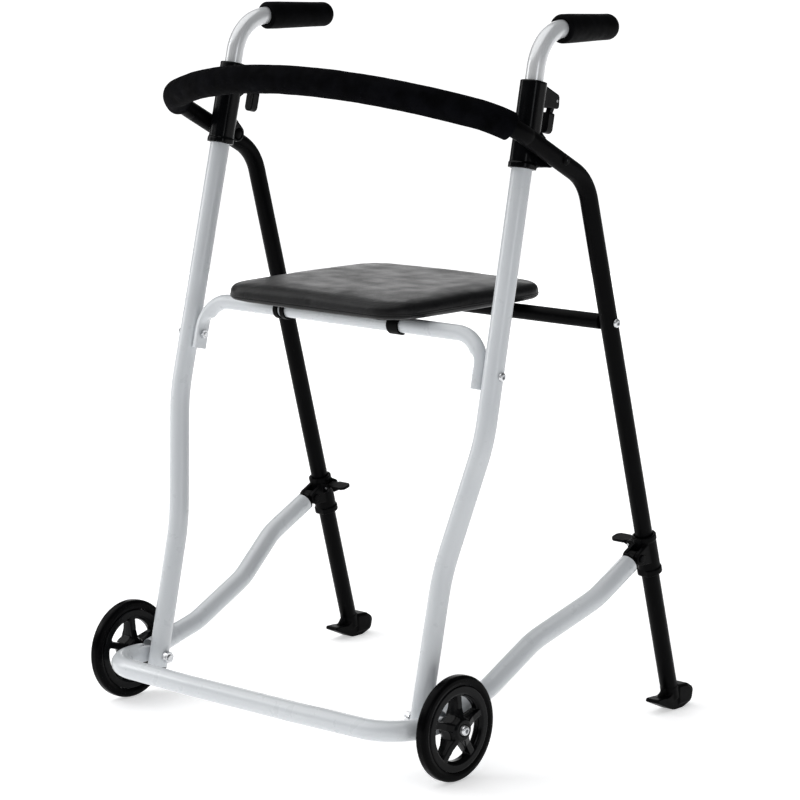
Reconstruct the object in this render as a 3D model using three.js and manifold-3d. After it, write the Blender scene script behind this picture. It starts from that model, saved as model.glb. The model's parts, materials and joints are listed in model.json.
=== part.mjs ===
// Folding walking frame with two front wheels, rear skids, a flip-up seat and a padded backrest bow.
// Millimetres. X is sideways and Y runs from the front (-) to the rear (+), +Z is up and Z 0 is the floor.
// The right half is modelled once, and the left half is the same group mirrored across X 0.
import * as THREE from "three";
import { mergeVertices } from "three/addons/utils/BufferGeometryUtils.js";
import Module from "manifold-3d";

const wasm = await Module();
wasm.setup();

// ---- Driving dimensions -------------------------------------------------------------------------------
const GAP = 0.4; // clearance between pieces that touch
const BOLT_GAP = 0.4; // clearance round a bolt's shank

const WHEEL = { x: 276.2, y: -186, radius: 63.5, rim: 51.6, width: 15, hub: 28.4 };
const AXLE_RADIUS = 4;

const LEAN = 0.2293; // uprights: rearward mm for each mm of height, through the wheel axle
const SPLAY = 0.0165; // uprights above the knees: inward mm for each mm of height
const UPRIGHT = { radius: 12.5, bore: 11.8, low: 222.3, high: 255.4, foot: 50, top: 797.8 };
const KNEES = { lower: 232.8, lowerBend: 250, upper: 389.7, upperBend: 220 };

const LOWER_BAR = { radius: 12.5, bore: 11.2, x: 247.8, front: -256, nose: -261.5, noseX: 90 };
const LOWER_CORNER = 252.5; // the arms spread slightly from the wheels to the front corners
const LOWER_BEND = 54; // corner radius of the lower bar
const NOSE_BEND = 800; // the lower bar's slight bow across the front
const LUG = { half: 9.5, back: 19 }; // slotted end of the lower bar round the axle
const SEAT_BAR = { radius: 9.5, bore: 8.1, x: 231.6, z: 510.5, foot: 448.5, bend: 40, boltZ: 466.5 };
const SEAT_END = { flat: 1.9, flatTop: 486, filledTop: 478 }; // flattened ends of the seat bar
const SCREW_RADIUS = 3; // bolts of the seat bar and of the crossbar

const PIVOT = { y: -3.5, z: 715 }; // where the rear frame folds
const LEG = { radius: 11.1, bore: 9.6, x: 277, footY: 237, kneeY: 48, kneeZ: 687.7, bend: 60, foot: 18 };
const BOW = { radius: 500, corner: 64, reach: 191.5 };
const ARM_END = 66; // the leg tubes end here, in front of the fold pivot, and the bow's tube begins
const FOAM = { radius: 17.4, bore: 12.4, turn: 0.384 }; // the foam starts part way round the corners
const CROSSBAR = { radius: 9.5, bore: 8.3, y: 96.6, z: 511 };

const HANDLE = { radius: 11, bore: 9.8, foot: 560, corner: 866, bend: 55 };
const HANDLE_END = [235.2, 143, 863.4];
const GRIP = { start: 41.1, depth: 105, length: 111.5, front: 17.5, rear: 15.75, bore: 11.5 };

const HOUSING = { z: 705.5, height: 102, half: 14.6, corner: 11, bore: 13, boreTop: 95, neck: 11.6 };
const HOUSING_LUG = { y: 32.3, z: 17.2, radius: 10.5, inner: 2, outer: 15.3 }; // holds the fold pivot
const LEVER = { pinY: 46.3, pinZ: 88, pinRadius: 2, middle: -5, half: 6.5 };

const BRACE = { radius: 12.5, bore: 11.7, x: 248, bendY: -93, bendZ: 87, kinkY: -8, kinkEndY: 77, start: 54 };
const BRACE_END = { y: 153, z: 209.5, cut: 12.8 }; // pivot of the brace on its collar
const BLADE = { half: 1.8, height: 4, eye: 9, length: 66 };

const COLLAR = { z: 185, height: 53, radius: 14.6, rim: 15.8, bore: 11.7, pivotY: -25.5, pivotZ: 32.4 };
const PEDAL = { pinX: -18.7, pinZ: 41, tip: -49 };

const SEAT = { halfWidth: 150, front: -147, rear: 143, corner: 44, bottom: 522.5, top: 548 };
const BOARD = { inset: 13, bottom: 523.2, top: 528 };
const CLIP = { x: 95, inner: 9.95, outer: 12.2, width: 18 };

// ---- Materials ----------------------------------------------------------------------------------------
const finish = (color, roughness, metalness = 0) =>
  new THREE.MeshStandardMaterial({ color, roughness, metalness });
const WHITE_PAINT = finish(0xdfe3e6, 0.3);
const SILVER_PAINT = finish(0xc9cdd0, 0.3, 0.4);
const BLACK_PAINT = finish(0x111113, 0.38);
const GLOSS_PLASTIC = finish(0x0b0c0f, 0.18);
const SATIN_PLASTIC = finish(0x121214, 0.45);
const FOAM_RUBBER = finish(0x101013, 0.85);
const GRIP_RUBBER = finish(0x0e0e10, 0.6);
const TYRE_RUBBER = finish(0x0c0c0d, 0.4);
const VINYL = finish(0x131315, 0.4);
const ZINC = finish(0xb9bdc2, 0.3, 1);
const STEEL = finish(0x9a9da1, 0.35, 1);

// ---- Solids: joining and cutting ----------------------------------------------------------------------
const X = new THREE.Vector3(1, 0, 0);
const Y = new THREE.Vector3(0, 1, 0);
const Z = new THREE.Vector3(0, 0, 1);

function solid(geometry) {
  const bare = geometry.clone();
  bare.deleteAttribute("normal");
  bare.deleteAttribute("uv");
  const merged = mergeVertices(bare, 1e-4);
  const vertProperties = new Float32Array(merged.attributes.position.array);
  const triVerts = new Uint32Array(merged.index.array);
  return new wasm.Manifold(new wasm.Mesh({ numProp: 3, vertProperties, triVerts }));
}

function surface(manifold) {
  const mesh = manifold.getMesh();
  const geometry = new THREE.BufferGeometry();
  geometry.setAttribute("position", new THREE.BufferAttribute(mesh.vertProperties, 3));
  geometry.setIndex(new THREE.BufferAttribute(mesh.triVerts, 1));
  geometry.computeVertexNormals();
  return geometry;
}

const join = (first, ...rest) => surface(rest.reduce((sum, g) => sum.add(solid(g)), solid(first)));
const cut = (body, ...tools) => surface(tools.reduce((left, g) => left.subtract(solid(g)), solid(body)));
const common = (a, b) => surface(solid(a).intersect(solid(b)));

// ---- Shapes -------------------------------------------------------------------------------------------
/** The arc that rounds the corner between three points: its stations, each a point and a heading. */
function fillet(before, corner, after, radius, steps) {
  const enter = corner.clone().sub(before).normalize();
  const leave = after.clone().sub(corner).normalize();
  const turn = enter.angleTo(leave);
  const inward = leave.clone().addScaledVector(enter, -Math.cos(turn)).normalize();
  const start = corner.clone().addScaledVector(enter, -radius * Math.tan(turn / 2));
  return Array.from({ length: steps + 1 }, (_, i) => {
    const angle = (turn * i) / steps;
    const along = radius * Math.sin(angle);
    const across = radius * (1 - Math.cos(angle));
    return {
      point: start.clone().addScaledVector(enter, along).addScaledVector(inward, across),
      heading: enter.clone().multiplyScalar(Math.cos(angle)).addScaledVector(inward, Math.sin(angle)),
    };
  });
}

/** A tube's centre line: straight runs between corners [x, y, z, bend radius, steps in the bend]. */
class Route extends THREE.Curve {
  constructor(...corners) {
    super();
    const at = corners.map((c) => new THREE.Vector3(c[0], c[1], c[2]));
    const last = at.length - 1;
    const heading = (a, b) => b.clone().sub(a).normalize();
    this.stations = [{ point: at[0], heading: heading(at[0], at[1]) }];
    for (let i = 1; i < last; i++)
      this.stations.push(...fillet(at[i - 1], at[i], at[i + 1], corners[i][3], corners[i][4]));
    this.stations.push({ point: at[last], heading: heading(at[last - 1], at[last]) });
    this.steps = this.stations.length - 1;
  }
  getPointAt(u, target = new THREE.Vector3()) {
    return target.copy(this.stations[Math.round(u * this.steps)].point);
  }
  getTangentAt(u, target = new THREE.Vector3()) {
    return target.copy(this.stations[Math.round(u * this.steps)].heading);
  }
}

/** Corner points of a regular polygon whose corners lie on a circle. */
const polygon = (radius, sides) =>
  Array.from({ length: sides }, (_, i) => {
    const angle = (2 * Math.PI * i) / sides;
    return new THREE.Vector2(radius * Math.cos(angle), radius * Math.sin(angle));
  });

function tube(route, outer, bore, sides = 12, boreSides = 6) {
  const section = new THREE.Shape(polygon(outer, sides));
  section.holes.push(new THREE.Path(polygon(bore, boreSides)));
  return new THREE.ExtrudeGeometry(section, { steps: route.steps, extrudePath: route });
}

/** A closed outline from corners [a, b, radius, steps]; a corner without a radius stays sharp. */
function outline(corners) {
  const at = corners.map(([a, b]) => new THREE.Vector3(a, b, 0));
  const points = corners.flatMap(([, , radius = 0, steps = 4], i) => {
    if (!radius) return [at[i]];
    const before = at[(i + at.length - 1) % at.length];
    const after = at[(i + 1) % at.length];
    return fillet(before, at[i], after, radius, steps).map((station) => station.point);
  });
  return new THREE.Shape(points.map((p) => new THREE.Vector2(p.x, p.y)));
}

/** A plate whose outline lies in Y and Z, from x0 to x1. */
function plate(corners, x0, x1) {
  const geometry = new THREE.ExtrudeGeometry(outline(corners), { depth: x1 - x0, bevelEnabled: false });
  return geometry.applyMatrix4(new THREE.Matrix4().makeBasis(Y, Z, X)).translate(x0, 0, 0);
}

/** A plate whose outline lies in X and Z, from y0 to y1. */
function web(corners, y0, y1) {
  const geometry = new THREE.ExtrudeGeometry(outline(corners), { depth: y1 - y0, bevelEnabled: false });
  return geometry.rotateX(Math.PI / 2).translate(0, y1, 0);
}

/** A slab whose outline lies in X and Y, from z0 to z1. */
function slab(corners, z0, z1) {
  const geometry = new THREE.ExtrudeGeometry(outline(corners), { depth: z1 - z0, bevelEnabled: false });
  return geometry.translate(0, 0, z0);
}

function box(x0, x1, y0, y1, z0, z1) {
  const geometry = new THREE.BoxGeometry(x1 - x0, y1 - y0, z1 - z0);
  return geometry.translate((x0 + x1) / 2, (y0 + y1) / 2, (z0 + z1) / 2);
}

function rod(from, to, radius, sides = 12) {
  const a = new THREE.Vector3(...from);
  const b = new THREE.Vector3(...to);
  const geometry = new THREE.CylinderGeometry(radius, radius, a.distanceTo(b), sides);
  geometry.applyQuaternion(new THREE.Quaternion().setFromUnitVectors(Y, b.clone().sub(a).normalize()));
  return geometry.translate(...a.add(b).multiplyScalar(0.5).toArray());
}

/** A body turned about the X axis from [radius, x] pairs, listed towards +X. */
function turned(profile, segments = 16) {
  const points = profile.map(([radius, along]) => new THREE.Vector2(radius, along));
  return new THREE.LatheGeometry(points, segments).rotateZ(-Math.PI / 2);
}

const domeHead = (radius, base, height) => [
  [radius, base],
  [radius * 0.95, base + height * 0.45],
  [radius * 0.6, base + height * 0.85],
  [0, base + height],
];

/** A bolt along X: shank from tip to seat, and a domed head beyond the seat. */
const bolt = (tip, seat, shank, head, height, segments = 8) =>
  turned([[0, tip], [shank, tip], [shank, seat], ...domeHead(head, seat, height)], segments);

/** A rivet along X with a domed head at each end, its grip reaching from -half to +half. */
function rivet(half, shank, head, height) {
  const right = [[shank, half], ...domeHead(head, half, height)];
  const left = right.map(([radius, along]) => [radius, -along]).reverse();
  return turned([...left, ...right], 8);
}

/** A hexagonal nut along X. */
const nut = (x0, x1, radius, hole) =>
  cut(rod([x0, 0, 0], [x1, 0, 0], radius, 6), rod([x0 - 1, 0, 0], [x1 + 1, 0, 0], hole, 8));

// ---- Positions worked out from the driving dimensions -------------------------------------------------
const degrees = THREE.MathUtils.degToRad;
const uprightY = (z) => WHEEL.y + LEAN * (z - WHEEL.radius);
const uprightX = (z) => UPRIGHT.high - SPLAY * (z - KNEES.upper);
const onUpright = (z) => [uprightX(z), uprightY(z), z];

const legSlope = (LEG.footY - LEG.kneeY) / LEG.kneeZ;
const legTilt = Math.atan(legSlope);
const onLeg = (z) => [LEG.x, LEG.footY - legSlope * z, z];

const armSlope = Math.atan2(PIVOT.z - LEG.kneeZ, LEG.kneeY - PIVOT.y);
/** A point on the sloping plane of the arms and the bow, at a distance forward of the fold pivot. */
const onArm = (x, forward) => [
  x,
  PIVOT.y - forward * Math.cos(armSlope),
  PIVOT.z + forward * Math.sin(armSlope),
];

// ---- Front frame --------------------------------------------------------------------------------------
function upright() {
  const route = new Route(
    [UPRIGHT.low, uprightY(UPRIGHT.foot), UPRIGHT.foot],
    [UPRIGHT.low, uprightY(KNEES.lower), KNEES.lower, KNEES.lowerBend, 3],
    [...onUpright(KNEES.upper), KNEES.upperBend, 3],
    onUpright(UPRIGHT.top),
  );
  const seatBoltY = uprightY(SEAT_BAR.boltZ);
  const axleHole = rod([200, WHEEL.y, WHEEL.radius], [245, WHEEL.y, WHEEL.radius], AXLE_RADIUS + BOLT_GAP);
  const seatHole = rod(
    [235, seatBoltY, SEAT_BAR.boltZ],
    [275, seatBoltY, SEAT_BAR.boltZ],
    SCREW_RADIUS + BOLT_GAP,
  );
  return cut(tube(route, UPRIGHT.radius, UPRIGHT.bore, 12, 12), axleHole, seatHole);
}

/** The U-shaped bar between the wheels; each arm ends in a slotted lug round the axle. */
function lowerBar() {
  const { x, front, nose, noseX, radius } = LOWER_BAR;
  const [y, z] = [WHEEL.y, WHEEL.radius];
  const route = new Route(
    [x, y, z],
    [LOWER_CORNER, front, z, LOWER_BEND, 5],
    [noseX, nose, z, NOSE_BEND, 1],
    [-noseX, nose, z, NOSE_BEND, 1],
    [-LOWER_CORNER, front, z, LOWER_BEND, 5],
    [-x, y, z],
  );
  const bar = cut(tube(route, radius, LOWER_BAR.bore), box(-300, 300, y - 12, y + 50, 0, 100));
  const { half, back } = LUG;
  const lugOutline = [
    [y - back, z - half],
    [y + half, z - half, half - 0.01, 5],
    [y + half, z + half, half - 0.01, 5],
    [y - back, z + half],
  ];
  const lugs = [-x, x].map((side) =>
    common(plate(lugOutline, side - 20, side + 20), rod([side, y - 25, z], [side, y + 15, z], radius, 16)),
  );
  const slots = [-BRACE.x, BRACE.x].map((side) =>
    box(side - BLADE.half - GAP, side + BLADE.half + GAP, y - 26, y + 20, z - 20, z + 20),
  );
  const hole = rod([-300, y, z], [300, y, z], AXLE_RADIUS + BOLT_GAP);
  return cut(join(bar, ...lugs), ...slots, hole);
}

/** The bar under the seat: its ends turn down along the uprights and are flattened on the inside. */
function seatBar() {
  const { x, z, foot, bend, boltZ } = SEAT_BAR;
  const flat = x - SEAT_END.flat;
  const end = (side, height) => [side * x, uprightY(height), height];
  const route = new Route(
    end(1, foot),
    [...end(1, z), bend, 5],
    [...end(-1, z), bend, 5],
    end(-1, foot),
  );
  const filled = [-1, 1].map((side) =>
    rod(end(side, foot), end(side, SEAT_END.filledTop), SEAT_BAR.radius - 0.3, 12),
  );
  const bar = join(tube(route, SEAT_BAR.radius, SEAT_BAR.bore), ...filled);
  const flattened = cut(bar, box(-flat, flat, -200, 0, 400, SEAT_END.flatTop));
  const y = uprightY(boltZ);
  return cut(flattened, rod([-300, y, boltZ], [300, y, boltZ], SCREW_RADIUS + BOLT_GAP, 12));
}

/** Plastic housing on top of the upright, with the lever's ear behind it and the fold pivot's lug. */
function housing() {
  const { half, corner, height, bore, boreTop, neck } = HOUSING;
  const square = [
    [-half, -half, corner, 4],
    [half, -half, corner, 4],
    [half, half, corner, 4],
    [-half, half, corner, 4],
  ];
  const barrel = slab(square, 0, height);
  const earOutline = [[8, 102], [18, 102.9], [48.5, 95.1, 4, 3], [51, 79, 4, 3], [8, 76.5]];
  const ear = plate(earOutline, LEVER.middle - 7, LEVER.middle + 7);
  const lugOutline = [[4, 2.5], [30.5, 6.8], [40.3, 24.2], [10, 46]];
  const { y: lugY, z: lugZ, radius, inner, outer } = HOUSING_LUG;
  const lug = plate(lugOutline, inner, outer);
  const lugEnd = rod([inner, lugY, lugZ], [outer, lugY, lugZ], radius, 16);
  const slot = box(LEVER.middle - 3.4, LEVER.middle + 3.4, 36, 60, 60, 93.8);
  const pivotHole = rod([0, lugY, lugZ], [20, lugY, lugZ], 4.8);
  const recess = rod([0, lugY, lugZ], [5.2, lugY, lugZ], 7.4);
  const mainBore = rod([0, 0, -5], [0, 0, boreTop], bore, 16);
  const neckBore = rod([0, 0, 50], [0, 0, 120], neck, 16);
  return cut(join(barrel, ear, lug, lugEnd), slot, leverHole(), pivotHole, recess, mainBore, neckBore);
}

/** The hole for the lever's pin, through the ear and the lever. */
function leverHole() {
  const { pinY, pinZ, pinRadius, middle } = LEVER;
  return rod([middle - 25, pinY, pinZ], [middle + 25, pinY, pinZ], pinRadius + BOLT_GAP, 12);
}

/** Squeeze lever that hangs from its pin in the ear of the housing. */
function heightLever() {
  const { pinY, pinZ, middle, half } = LEVER;
  const hub = rod([middle - 3, pinY, pinZ], [middle + 3, pinY, pinZ], 5);
  const neck = plate([[41.4, 70], [48.6, 70], [50.6, pinZ], [42.6, pinZ]], middle - 3, middle + 3);
  const paddleOutline = [
    [middle - half, 48, half - 0.5, 5],
    [middle + half, 48, half - 0.5, 5],
    [middle + half, 74],
    [middle - half, 74],
  ];
  const paddle = web(paddleOutline, 41, 49.5);
  const ribs = [-3.6, 0, 3.6].map((x) => box(middle + x - 0.7, middle + x + 0.7, 49, 50.6, 52, 72));
  return cut(join(hub, neck, paddle, ...ribs), leverHole());
}

function handleTube() {
  const { foot, corner, bend } = HANDLE;
  const route = new Route(onUpright(foot), [...onUpright(corner), bend, 6], HANDLE_END);
  return tube(route, HANDLE.radius, HANDLE.bore);
}

/** Moulded grip, closed at its rear end; its axis is X here, from its front face. */
function grip() {
  const { depth, length, front, rear, bore } = GRIP;
  return turned([
    [0, depth],
    [bore, depth],
    [bore, 0],
    [front - 1, 0],
    [front, 2],
    [front - 0.2, 18],
    [rear + 0.3, length - 30],
    [rear, length - 9],
    [rear - 2.2, length - 3],
    [rear - 7, length - 0.5],
    [0, length],
  ]);
}

// ---- Rear frame ---------------------------------------------------------------------------------------
function rearLeg() {
  const route = new Route(
    onLeg(LEG.foot),
    [LEG.x, LEG.kneeY, LEG.kneeZ, LEG.bend, 6],
    onArm(LEG.x, ARM_END),
  );
  const across = (y, z, radius) => rod([250, y, z], [300, y, z], radius + BOLT_GAP, 12);
  const leg = tube(route, LEG.radius, LEG.bore);
  return cut(leg, across(PIVOT.y, PIVOT.z, 4), across(CROSSBAR.y, CROSSBAR.z, SCREW_RADIUS));
}

/** Centre line of the backrest bow; it starts before or part way round the corner of each arm. */
function bowRoute(lead, turn) {
  const centre = BOW.reach - BOW.radius;
  const spread = Math.acos((LEG.x - BOW.corner) / (BOW.radius - BOW.corner));
  const bendFrom = centre + (BOW.radius - BOW.corner) * Math.sin(spread);
  const apexAt = centre + BOW.radius / Math.sin(spread);
  const ahead = BOW.corner * Math.tan((spread - turn) / 2);
  const onCorner = (side, run) =>
    onArm(
      side * (LEG.x - BOW.corner * (1 - Math.cos(turn)) - run * Math.sin(turn)),
      bendFrom + BOW.corner * Math.sin(turn) + run * Math.cos(turn),
    );
  return new Route(
    onCorner(1, -lead),
    [...onCorner(1, ahead), BOW.corner, 6],
    [...onArm(0, apexAt), BOW.radius, 8],
    [...onCorner(-1, ahead), BOW.corner, 6],
    onCorner(-1, -lead),
  );
}

function crossbar() {
  const end = LEG.x - LEG.radius - 0.5;
  const { radius, bore, y, z } = CROSSBAR;
  const across = (half, r, sides) => rod([-half, y, z], [half, y, z], r, sides);
  const screwHole = across(end + 5, SCREW_RADIUS + BOLT_GAP, 12);
  return cut(across(end, radius, 16), across(end - 25, bore, 8), screwHole);
}

/** Rocker-shaped shoe under the rear leg, with its origin on the floor in line with the leg. */
function skid() {
  const sideOutline = [
    [-50, 15],
    [-11, 0],
    [13, 0, 10, 3],
    [34, 6, 9, 3],
    [38.5, 24, 8, 3],
    [22, 32, 5, 2],
    [0, 32],
    [-21, 17.5],
    [-46.5, 19.5, 1.5, 2],
  ];
  const shoe = plate(sideOutline, -13, 13);
  const axis = (s) => [0, -s * Math.sin(legTilt), s * Math.cos(legTilt)];
  const socket = rod(axis(10), axis(40), 13.6, 16);
  const gusset = plate([[-36, 16], [-8, 16], [-12, 36], [-20, 36]], -3, 3);
  return cut(join(shoe, socket, gusset), rod(axis(16), axis(60), LEG.radius + 0.6, 16));
}

// ---- Side braces --------------------------------------------------------------------------------------
const bladeAngle = Math.atan2(BRACE.bendZ - WHEEL.radius, BRACE.bendY - WHEEL.y);
const braceSlope = (BRACE_END.z - BRACE.bendZ) / (BRACE_END.y - BRACE.bendY);
const braceAngle = Math.atan(braceSlope);
const onBrace = (x, y) => [x, y, BRACE.bendZ + braceSlope * (y - BRACE.bendY)];

/** The brace tube; its front end slides over the blade, and its rear end holds the black plug. */
function brace() {
  const endY = BRACE_END.y - BRACE_END.cut * Math.cos(braceAngle);
  const startY = WHEEL.y + BRACE.start * Math.cos(bladeAngle);
  const startZ = WHEEL.radius + BRACE.start * Math.sin(bladeAngle);
  const route = new Route(
    [BRACE.x, startY, startZ],
    [...onBrace(BRACE.x, BRACE.bendY), 90, 2],
    [...onBrace(BRACE.x, BRACE.kinkY), 90, 2],
    [...onBrace(LEG.x, BRACE.kinkEndY), 90, 2],
    onBrace(LEG.x, endY),
  );
  const rivetY = BRACE_END.y - 24 * Math.cos(braceAngle);
  const hole = rod(onBrace(255, rivetY), onBrace(300, rivetY), 2 + BOLT_GAP, 12);
  return cut(tube(route, BRACE.radius, BRACE.bore, 12, 12), hole);
}

/** Black plug in the rear end of the brace: X is the pivot's axis, and the tube lies along -Y. */
function bracePlug() {
  const body = rod([0, -38, 0], [0, -12, 0], BRACE.bore - 0.8, 12);
  const flange = rod([0, -12.4, 0], [0, -10.6, 0], BRACE.radius - 0.3, 16);
  const tongue = box(-6, 6, -14, 0, -7.6, 7.6);
  const eye = rod([-6, 0, 0], [6, 0, 0], 8.4, 16);
  const pivotHole = rod([-20, 0, 0], [20, 0, 0], 3 + BOLT_GAP, 12);
  const rivetHole = rod([-20, -24, 0], [20, -24, 0], 2 + BOLT_GAP, 12);
  return cut(join(body, flange, tongue, eye), pivotHole, rivetHole);
}

/** Steel blade: its eye turns on the axle bolt, and its tongue lies in the brace tube. */
function braceEye() {
  const eye = rod([-BLADE.half, 0, 0], [BLADE.half, 0, 0], BLADE.eye, 16);
  const tongueOutline = [
    [0, -BLADE.height],
    [BLADE.length, -BLADE.height, 3, 3],
    [BLADE.length, BLADE.height, 3, 3],
    [0, BLADE.height],
  ];
  const tongue = plate(tongueOutline, -BLADE.half, BLADE.half);
  return cut(join(eye, tongue), rod([-9, 0, 0], [9, 0, 0], AXLE_RADIUS + BOLT_GAP));
}

/** Sliding collar on the rear leg: Z is the leg's axis, -Y faces the brace and -X the other leg. */
function collar() {
  const { height, radius, rim, bore, pivotY, pivotZ } = COLLAR;
  const barrel = rod([0, 0, 0], [0, 0, height], radius, 16);
  const lowerRim = rod([0, 0, 0], [0, 0, 8], rim, 16);
  const cheekOutline = [[-4, 19], [pivotY - 2, pivotZ - 8.8], [pivotY - 2, pivotZ + 8.8], [-4, 46]];
  const cheeks = [-12, 6.5].flatMap((x) => [
    plate(cheekOutline, x, x + 5.5),
    rod([x, pivotY, pivotZ], [x + 5.5, pivotY, pivotZ], 9, 14),
  ]);
  const earOutline = [[-10, 32], [-20, 35, 2, 2], [-22.4, 45, 3, 2], [-10, 47]];
  const ears = [-10.8, 7.2].map((y) => web(earOutline, y, y + 3.6));
  const pivotHole = rod([-20, pivotY, pivotZ], [20, pivotY, pivotZ], 3 + BOLT_GAP, 12);
  const pinHole = rod([PEDAL.pinX, -20, PEDAL.pinZ], [PEDAL.pinX, 20, PEDAL.pinZ], 2, 12);
  const gap = box(-6.5, 6.5, pivotY - 20, -radius + 0.5, 0, 60);
  const body = join(barrel, lowerRim, ...cheeks, ...ears);
  return cut(body, gap, rod([0, 0, -5], [0, 0, height + 5], bore, 16), pivotHole, pinHole);
}

/** Release pedal on the inner side of the collar, in the collar's frame. */
function pedal() {
  const { pinX, pinZ, tip } = PEDAL;
  const hub = rod([pinX, -6.7, pinZ], [pinX, 6.7, pinZ], 3.6, 12);
  const plateOutline = [
    [pinX, -6.7],
    [pinX - 6, -6.7],
    [pinX - 9, -9.2, 2, 2],
    [tip, -9.2, 7.5, 5],
    [tip, 9.2, 7.5, 5],
    [pinX - 9, 9.2, 2, 2],
    [pinX - 6, 6.7],
    [pinX, 6.7],
  ];
  const top = slab(plateOutline, pinZ - 0.5, pinZ + 3);
  const gusset = web([[pinX - 2, pinZ], [tip + 6, pinZ], [pinX - 3, pinZ - 10]], -2, 2);
  return cut(join(hub, top, gusset), rod([pinX, -20, pinZ], [pinX, 20, pinZ], 2, 12));
}

// ---- Wheels -------------------------------------------------------------------------------------------
/** Five-spoked wheel body, turned about X, with its five openings cut through. */
function wheelHub() {
  const end = WHEEL.hub / 2;
  const half = 3.6; // the web's half thickness
  const rimHalf = 6.2;
  const rightHalf = [[WHEEL.rim, rimHalf], [40.5, rimHalf], [39.5, half], [15, half], [10.5, end], [7, end]];
  const leftHalf = rightHalf.map(([radius, along]) => [radius, -along]).reverse();
  const body = turned([...leftHalf, ...rightHalf, leftHalf[0]], 24);
  const openings = [0, 1, 2, 3, 4].map((i) =>
    plate(wheelOpening(), -20, 20).rotateX(Math.PI / 5 + (i * 2 * Math.PI) / 5),
  );
  return cut(body, ...openings);
}

/** Outline of one opening between two spokes, whose sides run parallel to the spokes. */
function wheelOpening() {
  const spokeHalf = 4.6;
  const [inner, outer] = [17.5, 38.6];
  const at = (radius, share) => {
    const angle = share * (Math.PI / 5 - Math.asin(spokeHalf / radius));
    return [radius * Math.sin(angle), radius * Math.cos(angle)];
  };
  return [at(inner, -1), ...[-1, -0.6, 0, 0.6, 1].map((share) => at(outer, share)), at(inner, 1)];
}

function tyre() {
  const bore = WHEEL.rim + GAP;
  const half = WHEEL.width / 2;
  const tread = WHEEL.radius;
  const rightHalf = [[tread, 2], [tread - 3.6, half], [bore, half]];
  const leftHalf = rightHalf.map(([radius, along]) => [radius, -along]).reverse();
  return turned([...leftHalf, ...rightHalf, leftHalf[0]], 32);
}

// ---- Seat ---------------------------------------------------------------------------------------------
const seatOutline = (inset, corner, steps) => {
  const half = SEAT.halfWidth - inset;
  const front = SEAT.front + inset;
  const rear = SEAT.rear - inset;
  return [
    [-half, front, corner, steps],
    [half, front, corner, steps],
    [half, rear, corner, steps],
    [-half, rear, corner, steps],
  ];
};

function seatCushion() {
  const edge = 7;
  const middle = SEAT.top - SEAT.bottom - 2 * edge;
  const body = new THREE.ExtrudeGeometry(outline(seatOutline(0, SEAT.corner, 6)), {
    depth: middle,
    bevelThickness: edge,
    bevelSize: edge,
    bevelOffset: -edge,
    bevelSegments: 2,
  }).translate(0, 0, SEAT.bottom + edge);
  const pocketOutline = seatOutline(BOARD.inset - 0.6, SEAT.corner - BOARD.inset, 5);
  const pocket = slab(pocketOutline, 500, BOARD.top + 0.6);
  return cut(body, pocket);
}

/** Clip under the board that hooks round the seat bar; X is the bar's axis. */
function seatClip() {
  const { inner, outer, width } = CLIP;
  const hook = new THREE.Shape();
  hook.absarc(0, 0, outer, degrees(-5), degrees(285), false);
  hook.absarc(0, 0, inner, degrees(285), degrees(-5), true);
  const band = new THREE.ExtrudeGeometry(hook, { depth: width, bevelEnabled: false, curveSegments: 9 });
  band.applyMatrix4(new THREE.Matrix4().makeBasis(Y, Z, X)).translate(-width / 2, 0, 0);
  const flange = box(-width / 2, width / 2, 0, 24, outer - 1.9, outer);
  return cut(join(band, flange), rod([-width, 0, 0], [width, 0, 0], inner - 0.02, 16));
}

// ---- Assembly -----------------------------------------------------------------------------------------
const walkingFrame = new THREE.Group();

function add(parent, name, geometry, material, position = [0, 0, 0]) {
  const mesh = new THREE.Mesh(geometry, material);
  mesh.name = name;
  mesh.position.set(...position);
  parent.add(mesh);
  return mesh;
}

const halves = [["right", 1], ["left", -1]].map(([side, sign]) => {
  const half = new THREE.Group();
  half.scale.x = sign;
  walkingFrame.add(half);
  return { side, half };
});

/** Makes one nested group in each half, and returns the function that puts a named pair of meshes in it. */
function place(position = [0, 0, 0], rotation = [0, 0, 0]) {
  const groups = halves.map(({ side, half }) => {
    const group = new THREE.Group();
    group.position.set(...position);
    group.rotation.set(...rotation);
    half.add(group);
    return { side, group };
  });
  return (name, geometry, material, at) => {
    for (const { side, group } of groups) add(group, `${name}_${side}`, geometry, material, at);
  };
}

add(walkingFrame, "lower_bar", lowerBar(), WHITE_PAINT);
add(walkingFrame, "seat_bar", seatBar(), WHITE_PAINT);
add(walkingFrame, "rear_crossbar", crossbar(), BLACK_PAINT);
const bowTube = tube(bowRoute(5.4, 0), LEG.radius, LEG.bore, 10, 5);
const foam = tube(bowRoute(0.5, FOAM.turn), FOAM.radius, FOAM.bore, 12, 8);
add(walkingFrame, "backrest_tube", bowTube, BLACK_PAINT);
add(walkingFrame, "backrest_foam", foam, FOAM_RUBBER);
add(walkingFrame, "seat_cushion", seatCushion(), VINYL);
const boardOutline = seatOutline(BOARD.inset, SEAT.corner - BOARD.inset, 5);
add(walkingFrame, "seat_board", slab(boardOutline, BOARD.bottom, BOARD.top), SATIN_PLASTIC);

const inPlace = place();
inPlace("seat_clip", seatClip(), SATIN_PLASTIC, [CLIP.x, uprightY(SEAT_BAR.z), SEAT_BAR.z]);
inPlace("upright", upright(), WHITE_PAINT);
inPlace("rear_leg", rearLeg(), BLACK_PAINT);
inPlace("brace", brace(), WHITE_PAINT);
inPlace("handle_tube", handleTube(), SILVER_PAINT);

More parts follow.
